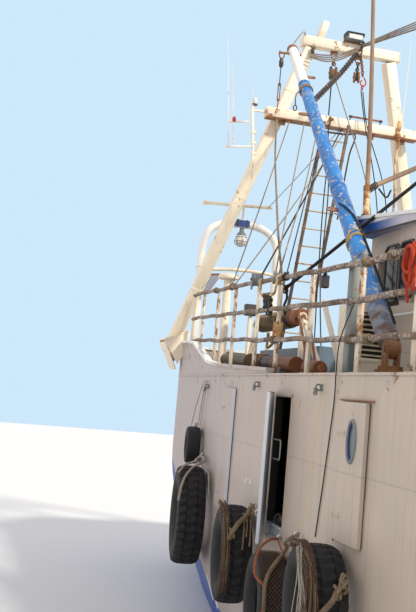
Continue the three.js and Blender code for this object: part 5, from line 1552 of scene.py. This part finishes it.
def floodlight():
    """Round-edged housing with a glass front, a curved visor with cheeks, cooling ribs and a bracket."""
    flood = Shape()
    glass, hood, rust = 1, 2, 3
    flood.block((-8.135, -0.165, 10.262), (-7.93, 0.165, 10.40), 0.03)
    flood.block((-7.935, -0.155, 10.268), (-7.905, 0.155, 10.39), 0.012)
    flood.block((-7.912, -0.135, 10.282), (-7.897, 0.135, 10.368), 0.01, ink=glass)
    t = np.linspace(0, 1, 13)
    visor = np.stack([-8.12 + 0.22 * t, 0 * t, 10.408 + 0.010 * np.sin(math.pi * t)], 1)
    flood.carried(rounded(0.345, 0.016, 0.006, 2), visor, UP, ink=hood)
    for x in -8.11 + 0.028 * np.arange(6):
        flood.bar((x, -0.13, 10.402), (x, 0.13, 10.402), 0.006, 0.02, UP, 0.002)
    flood.bar((-8.03, -0.19, 10.25), (-8.03, 0.19, 10.25), 0.05, 0.012, UP, 0.003, ink=rust)
    for s in (-1, 1):
        flood.bar((-8.10, s * 0.169, 10.375), (-7.89, s * 0.169, 10.385), 0.008, 0.06, UP, 0.003, ink=hood)
        arm = s * 0.185
        flood.bar((-8.03, arm, 10.25), (-8.03, arm, 10.34), 0.04, 0.010, ACROSS, 0.003, ink=rust)
        flood.rod((-8.03, arm * 0.96, 10.33), (-8.03, arm * 1.08, 10.33), 0.016, 8, ink=rust, edge=0.003)
    flood.piece("floodlight_housing", "grey_paint lamp_glass hood rust", slot="dark_steel",
                replaces=["floodlight"])


def hanging_blocks():
    """Starboard: two shackles, a mossy block and turns of rope; port: a shackle, a small block, chains and a
    red hook."""
    x, star_y, port_y = BEAM_TOP["x"], -0.33, 0.17
    first = Shape()
    end = shackle(first, (x, star_y, 10.03), 0.12, ACROSS)
    end = shackle(first, end, 0.11, AHEAD)
    sheave_block(first, end + (0, 0.01, 0.01), 0.24, (0.2, 1.0, 0), ink=1, metal=0)
    for k in range(4):
        at = np.array((x, -0.31 + 0.008 * k, 9.62 - 0.03 * k))
        first.hoop(at, np.array((0.075, 0, 0)), np.array((0, 0.05, 0.01)), 0.011, UP, 20, 6, 2)
    first.piece("hanging_block_starboard", "rust mossy rope_tan", slot="rust", replaces=["trawl_block_1"])

    second = Shape()
    chain_ink, red = 1, 2
    end = shackle(second, (x, port_y, 10.04), 0.13, ACROSS)
    chain(second, [end + (0, 0, 0.02), (x, port_y, 9.86), (-8.12, 0.16, 9.66)], 0.075, 0.013, ink=chain_ink)
    sheave_block(second, (x, 0.16, 9.78), 0.20, (0.3, 1.0, 0), ink=0, metal=chain_ink)
    chain(second, [(-8.10, 0.21, 10.02), (-8.09, 0.25, 9.80), (-8.10, 0.28, 9.62)], 0.07, 0.012)
    a = np.linspace(-0.2, 4.3, 20)
    hook = np.array((-8.10, 0.29, 9.53)) + np.stack([0 * a, 0.055 * np.cos(a), -0.055 * np.sin(a)], 1)
    second.tube(np.r_[[(-8.10, 0.30, 9.64), (-8.10, 0.34, 9.58)], hook], 0.013, 8, ink=red, up=AHEAD)
    shackle(second, (-8.10, 0.28, 9.50), 0.10, AHEAD, ink=red)
    second.piece("hanging_block_port", "rust chain lamp_red", slot="rust", replaces=["trawl_block_2"])


def beam_gear():
    """Chain and line between the gantry and the boom, shackles, and four cables laid along the beam and
    away."""
    to_boom = ("hull_body", "boom_body")
    top, low = (-7.99, 0.075, 10.04), (-5.50, -1.60, 8.08)
    link = chain(Shape(), [top, (-7.2, -0.48, 9.35), (-6.3, -1.08, 8.66), low], 0.120, 0.018)
    link.piece("boom_chain", "chain", (*to_boom, top, low), slot="dark_steel")
    top, low = (-8.10, -0.93, 10.24), (-7.44, -1.37, 9.78)
    link = laid(Shape(), [top, (-7.9, -1.03, 10.22), low], 0.011)
    link.piece("boom_tip_line", "cable", (*to_boom, top, low), slot="dark_steel")

    gear = Shape()
    cable, tan, cables = 1, 2, 4
    shackle(gear, (-7.99, 0.10, 10.16), 0.16, (0.2, 1, 0))
    shackle(gear, (-8.00, 0.16, 10.25), 0.15, (1, 0.2, 0), down=(0.2, -0.4, -1))
    hook = [(-8.03, 0.09, 10.27), (-7.99, 0.12, 10.31), (-7.97, 0.20, 10.26), (-7.98, 0.15, 10.12)]
    gear.tube(curve(hook, 14), 0.022, 8)
    bundle = np.array([(-8.02, -0.86, 9.89), (-8.00, -0.55, 9.90), (-7.99, -0.27, 9.97),
                       (-7.97, -0.04, 10.08), (-7.95, 0.15, 10.20)])
    spread = np.array([[1.0], [1.6], [1.4], [1.0], [0.5]])
    for k in range(cables):
        run = bundle + np.array((0.014 * k, 0.0, -0.030 * k)) * spread
        away = slack(run[-1], (1.46 + 0.02 * k, -0.06 + 0.03 * k, 7.94 - 0.02 * k), -0.12 + 0.03 * k, 30)
        gear.tube(np.concatenate([curve(run, 24)[:-1], away]), 0.013, 6,
                  ink=tan if k == cables - 1 else cable)
    gear.rod((-8.01, -0.80, 9.90), (-8.01, -0.80, 10.02), 0.035, 10, edge=0.008)
    gear.piece("beam_chain_and_cables", "chain cable rope_tan", slot="dark_steel")


def beam_bars():
    """Bars welded over and under the second beam, a stub, and the gilt post with a hose hanging from it."""
    bars = Shape()
    dark, gold, z = 1, 2, 8.862
    bars.rod((-8.15, 0.10, z), (-8.15, 0.76, z), 0.020, 10, edge=0.004)
    for y in (0.10, 0.72):
        bars.rod((-8.15, y - 0.02, z), (-8.15, y + 0.04, z), 0.026, 10, ink=dark, edge=0.004)
        bars.rod((-8.15, y, 8.80), (-8.15, y, 8.86), 0.012, 8, ink=dark)
    rail = [(-8.20, -0.415, 8.62), (-8.20, -0.40, 8.50), (-8.16, 0.10, 8.50), (-8.20, 0.09, 8.62)]
    for a, b in zip(rail, rail[1:]):
        bars.rod(a, b, 0.020, 8, ink=dark)
    hand = [(-8.16, 0.08, 8.50), (-8.06, 0.17, 8.50), (-8.20, 0.16, 8.14), (-8.30, 0.13, 7.6),
            (-8.42, 0.10, 6.9)]
    bars.tube(curve(hand, 22), 0.016, 8, ink=dark)
    bars.rod((-8.36, 0.01, 7.0), (-8.40, 0.115, 7.0), 0.012, 8, ink=dark)
    bars.rod((-8.14, -0.30, 8.74), (-8.03, -0.30, 8.70), 0.034, 12, edge=0.008)
    bars.rod((-8.14, -0.30, 8.80), (-8.14, -0.30, 8.62), 0.016, 8)
    post = [(0.0, 0.0), (0.022, -0.01), (0.040, -0.09), (0.042, -0.17), (0.030, -0.24), (0.052, -0.28),
            (0.052, -0.36), (0.026, -0.42), (0.0, -0.43)]
    bars.turned(post, (-8.13, 1.115, 8.94), (0.02, 0.03, 1), 16, ink=gold)
    for x in (-8.17, -8.09):
        bars.rod((x, 1.02, 8.60), (x, 1.20, 8.60), 0.011, 8)
    hose = [(-8.13, 1.13, 8.52), (-8.12, 1.08, 8.2), (-8.10, 1.10, 7.4), (-8.02, 1.02, 6.2),
            (-7.80, 1.0, 4.24)]
    bars.tube(curve(hose, 30), 0.024, 10, ink=gold)
    bars.piece("beam_bars", "rust chain gold_brown", slot="rust")


def capped(r, lip, body, top, height):
    """Outline of a small lamp: its foot, a lip, the body's side and a drawn-in top."""
    return [(0, 0), (r, 0), (lip, 0.02), (lip, body), (top, height), (0, height)]


def lamp_post():
    """Post and arms off the second beam's starboard end with two lamps and clips, and thin tapered
    aerials."""
    mast = Shape()
    x, red, glass, dark = BEAM_2["x"] + 0.004, 1, 2, 3
    for a, b, r in (((-1.50, 8.71), (-1.82, 8.70), 0.022), ((-1.86, 8.47), (-2.25, 8.41), 0.016),
                    ((-1.75, 8.01), (-2.25, 7.94), 0.016)):
        mast.rod((x, *a), (x, *b), r, 10)
    mast.rod((x, -1.71, 7.65), (x, -1.82, 8.80), 0.030, 12, edge=0.004)
    mast.rod((x, -1.72, 7.70), (-8.40, -1.66, 7.45), 0.016, 10)
    mast.turned(capped(0.030, 0.034, 0.07, 0.018, 0.10), (x, -2.145, 8.42), sides=14, ink=red)
    mast.turned(capped(0.034, 0.040, 0.09, 0.022, 0.12), (x, -1.775, 8.82), sides=14, ink=glass)
    mast.turned([(0, 0), (0.055, 0), (0.055, 0.02), (0, 0.02)], (x, -1.775, 8.80), sides=14, ink=dark)
    for y, z in ((-1.80, 8.28), (-1.78, 8.08), (-1.76, 7.88)):
        mast.rod((x, y, z), (x, y + 0.08, z), 0.036, 10, edge=0.006)
    for a, b, r in (((-2.21, 7.92), (-2.40, 10.07), 0.008), ((-2.127, 8.03), (-2.252, 9.495), 0.007),
                    ((-1.80, 8.80), (-1.86, 9.46), 0.005)):
        mast.rod((x, *a), (x, *b), r, 8, r * 0.4)
        mast.rod((x, *a), (x, a[0] - 0.01, a[1] + 0.12), 0.016, 8, edge=0.003)
    mast.rod((-8.20, 1.20, 8.80), (-8.22, 1.29, 10.58), 0.008, 8, 0.004)
    mast.rod((-8.20, 1.20, 8.78), (-8.20, 1.205, 8.95), 0.018, 8, edge=0.003)
    mast.piece("lamp_post_and_whips", "cream lamp_red lamp_glass dark_steel", slot="white")


def ladder():
    """Two side bars from the deck to the second beam, and round rungs with a collar at each end."""
    shape = Shape()
    top, foot, half, rungs = np.array((-7.95, -0.24, 8.62)), np.array((-9.10, -0.45, 3.70)), 0.245, 15
    for dy in (-half, half):
        shape.bar(foot + (0, dy, 0), top + (0, dy, 0), 0.060, 0.036, AHEAD, 0.008, n=3)
    for i in range(1, rungs):
        at = foot + (top - foot) * i / rungs
        shape.rod(at - (0, half - 0.02, 0), at + (0, half - 0.02, 0), 0.015, 10, ink=1)
        for dy in (-half, half):
            shape.rod(at + (0, dy - 0.036, 0), at + (0, dy + 0.036, 0), 0.020, 8, edge=0.004)
    shape.piece("ladder_rails", "ladder rung", slot="dark_steel", replaces=["gantry_ladder"])


floodlight()
hanging_blocks()
beam_gear()
beam_bars()
lamp_post()
ladder()


# Lines from the gantry to the rail, and what hangs on the rail
def rail_at(x, drop=0.0, out=0.0):
    """Point on the starboard top rail pipe, lowered and moved outboard."""
    return rail_point(x, RAIL_LEVELS["top"], -1, RAIL_OUT + out) - (0, 0, drop)


def gantry_lines():
    """Running lines from the second beam to the rail and the deck, and the mast's stay, with knots at their
    ends."""
    lines = Shape()
    tan, pale, dark, rust = range(4)
    # Taut lines: start, x on the rail, radius, ink
    for start, x, r, ink in (((-8.20, -1.08, 8.62), -5.75, 0.011, tan),
                             ((-8.20, 0.07, 8.62), -5.55, 0.010, pale),
                             ((-8.20, -0.03, 8.62), -4.12, 0.013, dark),
                             ((-8.20, -0.43, 8.52), -2.82, 0.009, dark)):
        end = rail_at(x, -0.02)
        lines.tube(slack(start, end, 0.04, 24), r, 6, ink=ink)
        knot(lines, end, 0.05, ink=ink)
        lines.rod(np.array(start) - (0, 0, 0.05), np.array(start) + (0, 0, 0.02), 0.022, 8, ink=rust,
                  edge=0.004)
    # Bent lines to the rail: points, radius, sides, knot, ink
    for path, r, sides, size, ink in (
            ([(-8.20, -1.34, 8.61), (-7.55, -1.52, 7.81), (-6.30, -1.82, 6.66), (-5.20, -2.11, 5.94),
              (-4.60, -2.27, 5.60), rail_at(-2.98, 0.02)], 0.017, 8, 0.06, tan),
            ([(-8.20, -0.79, 8.60), (-6.60, -1.45, 7.16), (-5.0, -2.08, 5.95), rail_at(-3.33, 0.01)], 0.011,
             6, 0.045, pale),
            ([(-8.20, -0.51, 8.60), (-6.30, -1.37, 6.80), (-5.4, -1.78, 6.16), rail_at(-3.20, 0.01)], 0.012,
             6, 0.045, pale)):
        lines.tube(curve(path, 40), r, sides, ink=ink)
        knot(lines, path[-1], size, ink=ink)
    lines.tube(slack((-8.22, -0.05, 8.62), (-9.90, -0.86, 7.25), 0.03, 16), 0.006, 6, ink=dark)
    lines.rod((-8.11, -0.345, 9.46), (-8.12, -0.35, 8.80), 0.012, 6, ink=dark)
    for ink, path in (
            (pale, [(-8.11, -0.27, 9.50), (-8.02, -0.03, 8.82), (-8.0, 0.48, 7.51), (-7.85, 0.62, 6.4),
                    (-7.6, 0.70, 4.24)]),
            (dark, [(-8.10, 0.30, 9.36), (-8.02, 0.36, 8.82), (-8.0, 0.78, 7.67), (-7.8, 1.0, 5.8),
                    (-7.6, 1.1, 4.24)]),
            (dark, [(-8.10, 0.26, 9.38), (-8.00, 0.32, 8.82), (-8.0, 0.60, 7.75), (-7.8, 0.8, 5.8),
                    (-7.5, 0.9, 4.24)]),
            (dark, [(-7.55, -0.50, 7.9), (-7.5, -0.55, 7.2), (-7.5, -0.55, 5.84), (-7.3, -0.6, 4.24)]),
            (dark, [(-8.10, -0.35, 8.62), (-7.6, -0.44, 7.2), (-7.5, -0.50, 5.61), (-7.2, -0.5, 4.24)])):
        lines.tube(curve(path, 30), 0.011, 6, ink=ink)
    stay_x = -3.40
    low = np.array((stay_x, -2.52, 4.82))
    lines.tube(slack((1.5, -0.05, 8.06), low, 0.0, 30), 0.021, 8, ink=dark)
    lines.bar(rail_at(stay_x, 0.02), low - (0, -0.03, 0.02), 0.045, 0.02, UP, 0.005, ink=rust)
    knot(lines, low, 0.06, ink=dark)
    tail = low + np.array([(0, 0, 0), (0.02, 0.02, -0.12), (-0.02, 0.0, -0.24), (0.03, 0.01, -0.34)])
    lines.tube(curve(tail, 16), 0.016, 6, ink=dark)
    lines.piece("gantry_lines", "rope_tan line_pale rope_dark rust", slot="net")


def wrapped(shape, level, out, x0, x1, turns, r, gap, ink):
    """Turns of rope round a rail pipe: its line plus a circle, whose angle grows with the distance along
    it."""
    a = np.linspace(0, 2 * math.pi * turns, 14 * turns)
    pipe = rail_point(np.linspace(x0, x1, len(a)), RAIL_LEVELS[level], -1, out)
    shape.tube(pipe + gap * np.stack([0 * a, np.cos(a), np.sin(a)], 1), r, 6, ink=ink, up=AHEAD)


def rail_hangings():
    """On the starboard rail: a pulley, clamps, a hung bar with chains, a small box, rope turns and a red
    coil."""
    hung = Shape()
    grey, rust, gold, links, steel, red, tan, dark = range(8)
    along = unit(rail_at(-4.0) - rail_at(-4.3))
    at = rail_at(-4.15, -0.03, 0.02)
    wheel = [(0.0, -0.05), (0.10, -0.05), (0.085, -0.02), (0.085, 0.02), (0.10, 0.05), (0.0, 0.05)]
    hung.turned(wheel, at, (0.25, 1, 0), 20, ink=grey)
    for y in (-0.065, 0.065):
        hung.bar(at + (0, y, -0.14), at + (0, y, 0.08), 0.06, 0.016, ACROSS, 0.004, ink=grey)
    hung.rod(at - (0, 0.09, 0), at + (0, 0.09, 0), 0.02, 8, ink=rust, edge=0.003)
    for x, wide in ((-3.30, 0.10), (-4.0, 0.06), (-0.30, 0.08)):
        c = rail_at(x)
        hung.rod(c - along * wide / 2, c + along * wide / 2, 0.044, 14, ink=grey, edge=0.006)
        hung.bar(c + (0, 0, 0.03), c + (0, 0, 0.10), 0.05, 0.04, AHEAD, 0.006, ink=grey)
    bar_ends = (-3.92, -3.10)
    a, b = (rail_at(x, 0.03, 0.03) for x in bar_ends)
    mid = (a + b) / 2 - (0, 0, 0.16)
    bow = [a + (0, 0, 0.05), a, a - (-0.04, 0, 0.12), mid, b - (0.04, 0, 0.12), b, b + (0, 0, 0.05)]
    hung.tube(curve(bow, 30), 0.017, 8, ink=gold)
    for x in bar_ends:
        hung.rod(rail_at(x) - along * 0.03, rail_at(x) + along * 0.03, 0.042, 12, ink=gold, edge=0.005)
    for k in range(5):
        low = mid + along * (0.07 * k - 0.16)
        drop = [(0, 0, 0.01), (0.03, 0.02 * (k % 2), -0.10), (0.0, 0.03, -0.20 - 0.02 * k),
                (0.06, 0.0, -0.06)]
        chain(hung, low + np.array(drop), 0.055, 0.012, ink=links)
    hung.block(rail_at(-1.43, 0.20) - (0, 0.045, 0), rail_at(-1.33, 0.06) + (0, 0.04, 0), 0.012, ink=steel)
    chain(hung, [rail_at(-1.38, 0.0), rail_at(-1.38, 0.10)], 0.06, 0.010, ink=links)
    # Rope round the top rail: first and last x, turns, radius, ink
    for x0, x1, turns, r, ink in ((0.80, 0.90, 4, 0.015, red), (0.92, 0.98, 2, 0.013, red),
                                  (-0.28, -0.18, 3, 0.010, tan), (0.30, 0.38, 3, 0.010, tan),
                                  (-5.80, -5.70, 3, 0.009, tan), (-2.86, -2.80, 3, 0.009, dark),
                                  (-6.95, -6.86, 3, 0.010, tan), (1.6, 1.7, 3, 0.012, tan)):
        wrapped(hung, "top", RAIL_OUT, x0, x1, turns, r, 0.031 + r, ink)
    for x0, x1, turns in ((-0.60, -0.48, 4), (-0.14, -0.04, 3), (-3.24, -3.10, 4), (2.2, 2.32, 3)):
        wrapped(hung, "low", RAIL_OUT - 0.006, x0, x1, turns, 0.009, 0.041, tan)
    top = rail_at(0.86)
    a = np.linspace(0, 2 * math.pi, 28)[:-1]
    # Coil: each loop's drop, lean and distance inboard
    for k, (drop, dx, dy) in enumerate(((0.36, 0.03, 0.01), (0.31, -0.02, 0.035), (0.26, 0.05, 0.02),
                                        (0.22, 0.0, 0.05))):
        across = (0.048 + 0.012 * k) * np.cos(a) + dx * np.sin(a / 2)
        loop = np.stack([across, 0.006 * np.sin(3 * a), drop / 2 * np.sin(a)], 1)
        hung.tube(top - (0, 0.045 + dy, drop / 2) + loop, 0.015, 6, ink=red, ring=True, up=ACROSS)
    laid(hung, [top - (0.03, 0.05, 0), top - (0.06, 0.07, 0.26), top - (0.04, 0.06, 0.46)], 0.013, ink=red)
    sleeve = rail_point(-3.17, (0.45, 0.0), -1)
    hung.rod(sleeve, sleeve + (0, 0, 0.20), 0.062, 14, ink=gold, edge=0.008)
    hung.piece("rail_hangings", "grey_paint rust gold_brown chain dark_steel rope_red rope_tan rope_dark",
               slot="net")


gantry_lines()
rail_hangings()


# Deck gear
def ring_places(n, r):
    """Pairs of distances, r times cosine and sine, for n places round a circle."""
    a = np.arange(n) * 2 * math.pi / n
    return zip(r * np.cos(a), r * np.sin(a))


def wound_roller():
    """Pipe wound with net: the radius is a product of slow sines plus a seeded roughness, with helices of
    rope over it and a rusty drum at one end."""
    x0, x1, y, z = -6.45, -4.35, -1.93, 4.57
    net = Shape()
    rope, rust, wet = 1, 2, 3
    rng = np.random.default_rng(5)
    t = np.linspace(0, 1, 70)
    a = np.arange(26) / 26 * 2 * math.pi
    lumps = 0.118 + 0.016 * np.sin(t[:, None] * 37 + 2 * a[None]) * np.sin(5 * a[None] + 9 * t[:, None])
    lumps = lumps + rng.uniform(-0.006, 0.006, lumps.shape)
    lumps[0] = lumps[-1] = 0.062
    net_from, net_to = x0 + 0.25, x1 - 0.42
    along = np.broadcast_to((net_from + (net_to - net_from) * t)[:, None], lumps.shape)
    net.grid(np.stack([along, y + lumps * np.cos(a), z + lumps * np.sin(a)], -1), wrap_v=True, caps=True)
    turn = np.linspace(0, 2 * math.pi * 3, 60)
    for k in range(9):
        run = x0 + 0.32 + 0.155 * k + 0.05 * np.sin(turn / 3 + k) + 0.012 * turn / 6
        net.tube(np.stack([run, y + 0.134 * np.cos(turn), z + 0.134 * np.sin(turn)], 1), 0.010, 5, ink=rope,
                 up=AHEAD)
    net.rod((x0 - 0.09, y, z), (x1 + 0.09, y, z), 0.030, 12, ink=rust)
    net.rod((x0, y, z), (x1, y, z), 0.055, 16, ink=rust, edge=0.006)
    drum = [(0.0, 0.0), (0.124, 0.0), (0.124, 0.02), (0.108, 0.03), (0.108, 0.25), (0.124, 0.26),
            (0.124, 0.28), (0.0, 0.28)]
    net.turned(drum, (x1 - 0.30, y, z), AHEAD, 24, ink=wet)
    for c, s in ring_places(6, 0.075):
        net.rod((x1 - 0.03, y + c, z + s), (x1 - 0.012, y + c, z + s), 0.012, 6, ink=rust)
    net.piece("wound_roller", "net_dark rope_tan rust rust_wet", "net_roller_body", slot="net",
              replaces=["net_roller"])


def wrapped_pipe():
    """Long pipe on two rests: a mossy end, a stretch wound with cord and a rusty end, with end rings."""
    stowed = Shape()
    steel, wet, cord, grey = 1, 2, 3, 4
    a0, run = np.array((-7.25, -2.18, 3.99)), np.array((3.95, -0.15, -0.14))
    t = np.linspace(0, 1, 60)[:, None]
    end_r = np.where(t[45:, 0] < 0.66, 0.121, 0.104) * 0.97
    stowed.tube(a0 + run * t[:28], 0.104, 20)
    stowed.tube(a0 + run * t[27:46], 0.100, 20, ink=steel)
    stowed.tube(a0 + run * t[45:], end_r, 20, ink=wet)
    turns = np.linspace(0, 2 * math.pi * 30, 30 * 14)
    at = 0.42 + 0.22 * np.linspace(0, 1, len(turns)) + 0.004 * np.sin(turns * 0.37)
    ahead = unit(run)
    side, top = square_to(ahead, UP)
    around = np.cos(turns)[:, None] * side + np.sin(turns)[:, None] * top
    stowed.tube(a0 + run * at[:, None] + 0.112 * around, 0.013, 5, ink=cord, up=ahead)
    for part in (0.0, 0.985):
        end = a0 + run * part
        stowed.rod(end, end + ahead * 0.06, 0.107, 20, ink=wet, edge=0.006)
    for part in (0.1, 0.88):
        c = a0 + run * part
        stowed.block((c[0] - 0.07, c[1] - 0.11, DECK + 0.0005), (c[0] + 0.07, c[1] + 0.11, c[2] - 0.05), 0.01,
                     ink=grey)
    stowed.piece("wrapped_pipe", "mossy dark_steel rust_wet rope_brown grey_paint", slot="grey_paint",
                 replaces=["stowed_roller"])


def props_and_bars():
    """Timber and bars that lean behind the rail, a rusty drum on its pipe, an empty box on a post, and a
    rope."""
    props = Shape()
    rust, wet, steel, rope = 1, 2, 3, 4
    props.bar((-2.80, -1.90, 3.70), (-3.64, -1.90, 4.75), 0.075, 0.045, ACROSS, 0.008)
    for a, b in (((-3.9, -2.02, 4.66), (-3.35, -2.02, 3.72)), ((-4.15, -2.05, 4.60), (-3.55, -2.05, 3.72))):
        props.bar(a, b, 0.045, 0.02, ACROSS, 0.004, ink=rust)
    props.rod((-3.02, -2.28, 3.81), (-2.60, -2.28, 3.80), 0.10, 20, ink=wet, edge=0.012)
    props.rod((-3.05, -2.28, 3.81), (-2.56, -2.28, 3.80), 0.045, 14, ink=rust, edge=0.006)
    props.block((-7.62, -1.84, 4.80), (-7.44, -1.64, 5.0), 0.014, ink=steel)
    props.rod((-7.53, -1.74, 3.70), (-7.53, -1.74, 4.82), 0.035, 12)
    laid(props, [(-5.9, -1.90, 4.40), (-5.5, -2.02, 4.16), (-5.1, -1.98, 4.34)], 0.020, ink=rope)
    props.piece("props_and_bars", "cream rust rust_wet dark_steel rope_tan", slot="cream")


def winch_barrels():
    """Shaft with two barrels: each has flanges, spokes outside, and wire wound as a helix over its core."""
    drums = Shape()
    core, wire_ink, turns, rim = 1, 2, 24, 0.024
    x, z, inner_y, outer_y = -4.30, 4.26, 0.08, 0.78
    flange = [(0.0, 0.0), (0.345, 0.0), (0.36, 0.006), (0.36, 0.018), (0.345, rim), (0.0, rim)]
    drums.rod((x, -0.91, z), (x, 0.91, z), 0.050, 16, edge=0.006)
    for s in (-1, 1):
        for y in (inner_y, outer_y - rim):
            drums.turned(flange, (x, y if s > 0 else -y - rim, z), ACROSS, 36)
        a = np.linspace(0, 2 * math.pi * turns, turns * 22)
        w = s * np.linspace(inner_y + 0.04, outer_y - 0.04, len(a))
        drums.rod((x, s * (inner_y + rim), z), (x, s * (outer_y - rim), z), 0.190, 26, ink=core)
        wire = np.stack([x + 0.197 * np.cos(a), w, z + 0.197 * np.sin(a)], 1)
        drums.tube(wire, 0.012, 4, ink=wire_ink, up=ACROSS)
        drums.rod((x, s * 0.76, z), (x, s * 0.7995, z), 0.075, 16)
        y = s * (outer_y + 0.006)
        for c, q in ring_places(6, 1.0):
            drums.bar((x + 0.10 * c, y, z + 0.10 * q), (x + 0.32 * c, y, z + 0.32 * q), 0.03, 0.012, ACROSS,
                      0.004)
    drums.piece("winch_barrels", "rust grey_paint wire", "winch_drums_body", slot="rust",
                replaces=["winch_drums"])


def mushroom_vent():
    """Turned stem with a rounded cap, and a ring of bolts on its flange."""
    vent = Shape()
    foot = np.array((-8.05, -2.05, DECK))
    vent.turned([(0.0, 0.0), (0.11, 0.0), (0.11, 0.016), (0.085, 0.03), (0.074, 0.06), (0.074, 1.74),
                 (0.150, 1.755), (0.186, 1.77), (0.190, 1.79), (0.188, 1.815), (0.165, 1.845), (0.125, 1.862),
                 (0.06, 1.869), (0.0, 1.870)], foot, sides=28)
    for c, s in ring_places(8, 0.097):
        vent.rod(foot + (c, s, 0.015), foot + (c, s, 0.028), 0.009, 6, ink=1)
    vent.piece("mushroom_vent", "cream rust", slot="cream", replaces=["vent_1"])


wound_roller()
wrapped_pipe()
props_and_bars()
winch_barrels()
mushroom_vent()


# Floor at the waterline, sky and lamps
FLOOR_HALF, FLOOR_GREY = 60, (0.66, 0.67, 0.68)
SKY_SEEN, SKY_GLOW, GLOW = (0.62, 0.81, 0.97, 1.0), (0.98, 0.97, 1.0, 1.0), 0.92
SUN_POWER, SUN_WIDTH, SUN_TINT, SUN_WAY = 3.3, math.radians(5), (1.0, 0.92, 0.80), (-0.66, -0.40, -0.62)


def lay_floor():
    """Flat square in the waterline plane, plain pale."""
    half = FLOOR_HALF
    corners = [(-half, -half, 0), (half, -half, 0), (half, half, 0), (-half, half, 0)]
    mesh = bpy.data.meshes.new("floor")
    mesh.from_pydata(corners, [], [(0, 1, 2, 3)])
    floor = bpy.data.objects.new("floor", mesh)
    scene.collection.objects.link(floor)
    f = Finish("floor_plain", 0.8)
    f.colour(FLOOR_GREY)
    mesh.materials.append(f.mat)


def light_up():
    """Even pale sky round the scene and one broad warm lamp; what the camera sees of the sky is plain
    blue."""
    scene.view_settings.view_transform = "Standard"
    world = bpy.data.worlds.new("sky")
    world.use_nodes = True
    tree = world.node_tree
    seen = tree.nodes["Background"]
    seen.inputs["Color"].default_value = SKY_SEEN
    glow = tree.nodes.new("ShaderNodeBackground")
    glow.inputs["Color"].default_value = SKY_GLOW
    glow.inputs["Strength"].default_value = GLOW
    path = tree.nodes.new("ShaderNodeLightPath")
    both = tree.nodes.new("ShaderNodeMixShader")
    tree.links.new(path.outputs["Is Camera Ray"], both.inputs["Fac"])
    tree.links.new(glow.outputs["Background"], both.inputs[1])
    tree.links.new(seen.outputs["Background"], both.inputs[2])
    tree.links.new(both.outputs["Shader"], tree.nodes["World Output"].inputs["Surface"])
    scene.world = world
    sun = bpy.data.lights.new("sun", "SUN")
    sun.energy = SUN_POWER
    sun.angle = SUN_WIDTH
    sun.color = SUN_TINT
    lamp = bpy.data.objects.new("sun", sun)
    lamp.matrix_world = Vector(SUN_WAY).to_track_quat("-Z", "Y").to_matrix().to_4x4()
    scene.collection.objects.link(lamp)


lay_floor()
light_up()
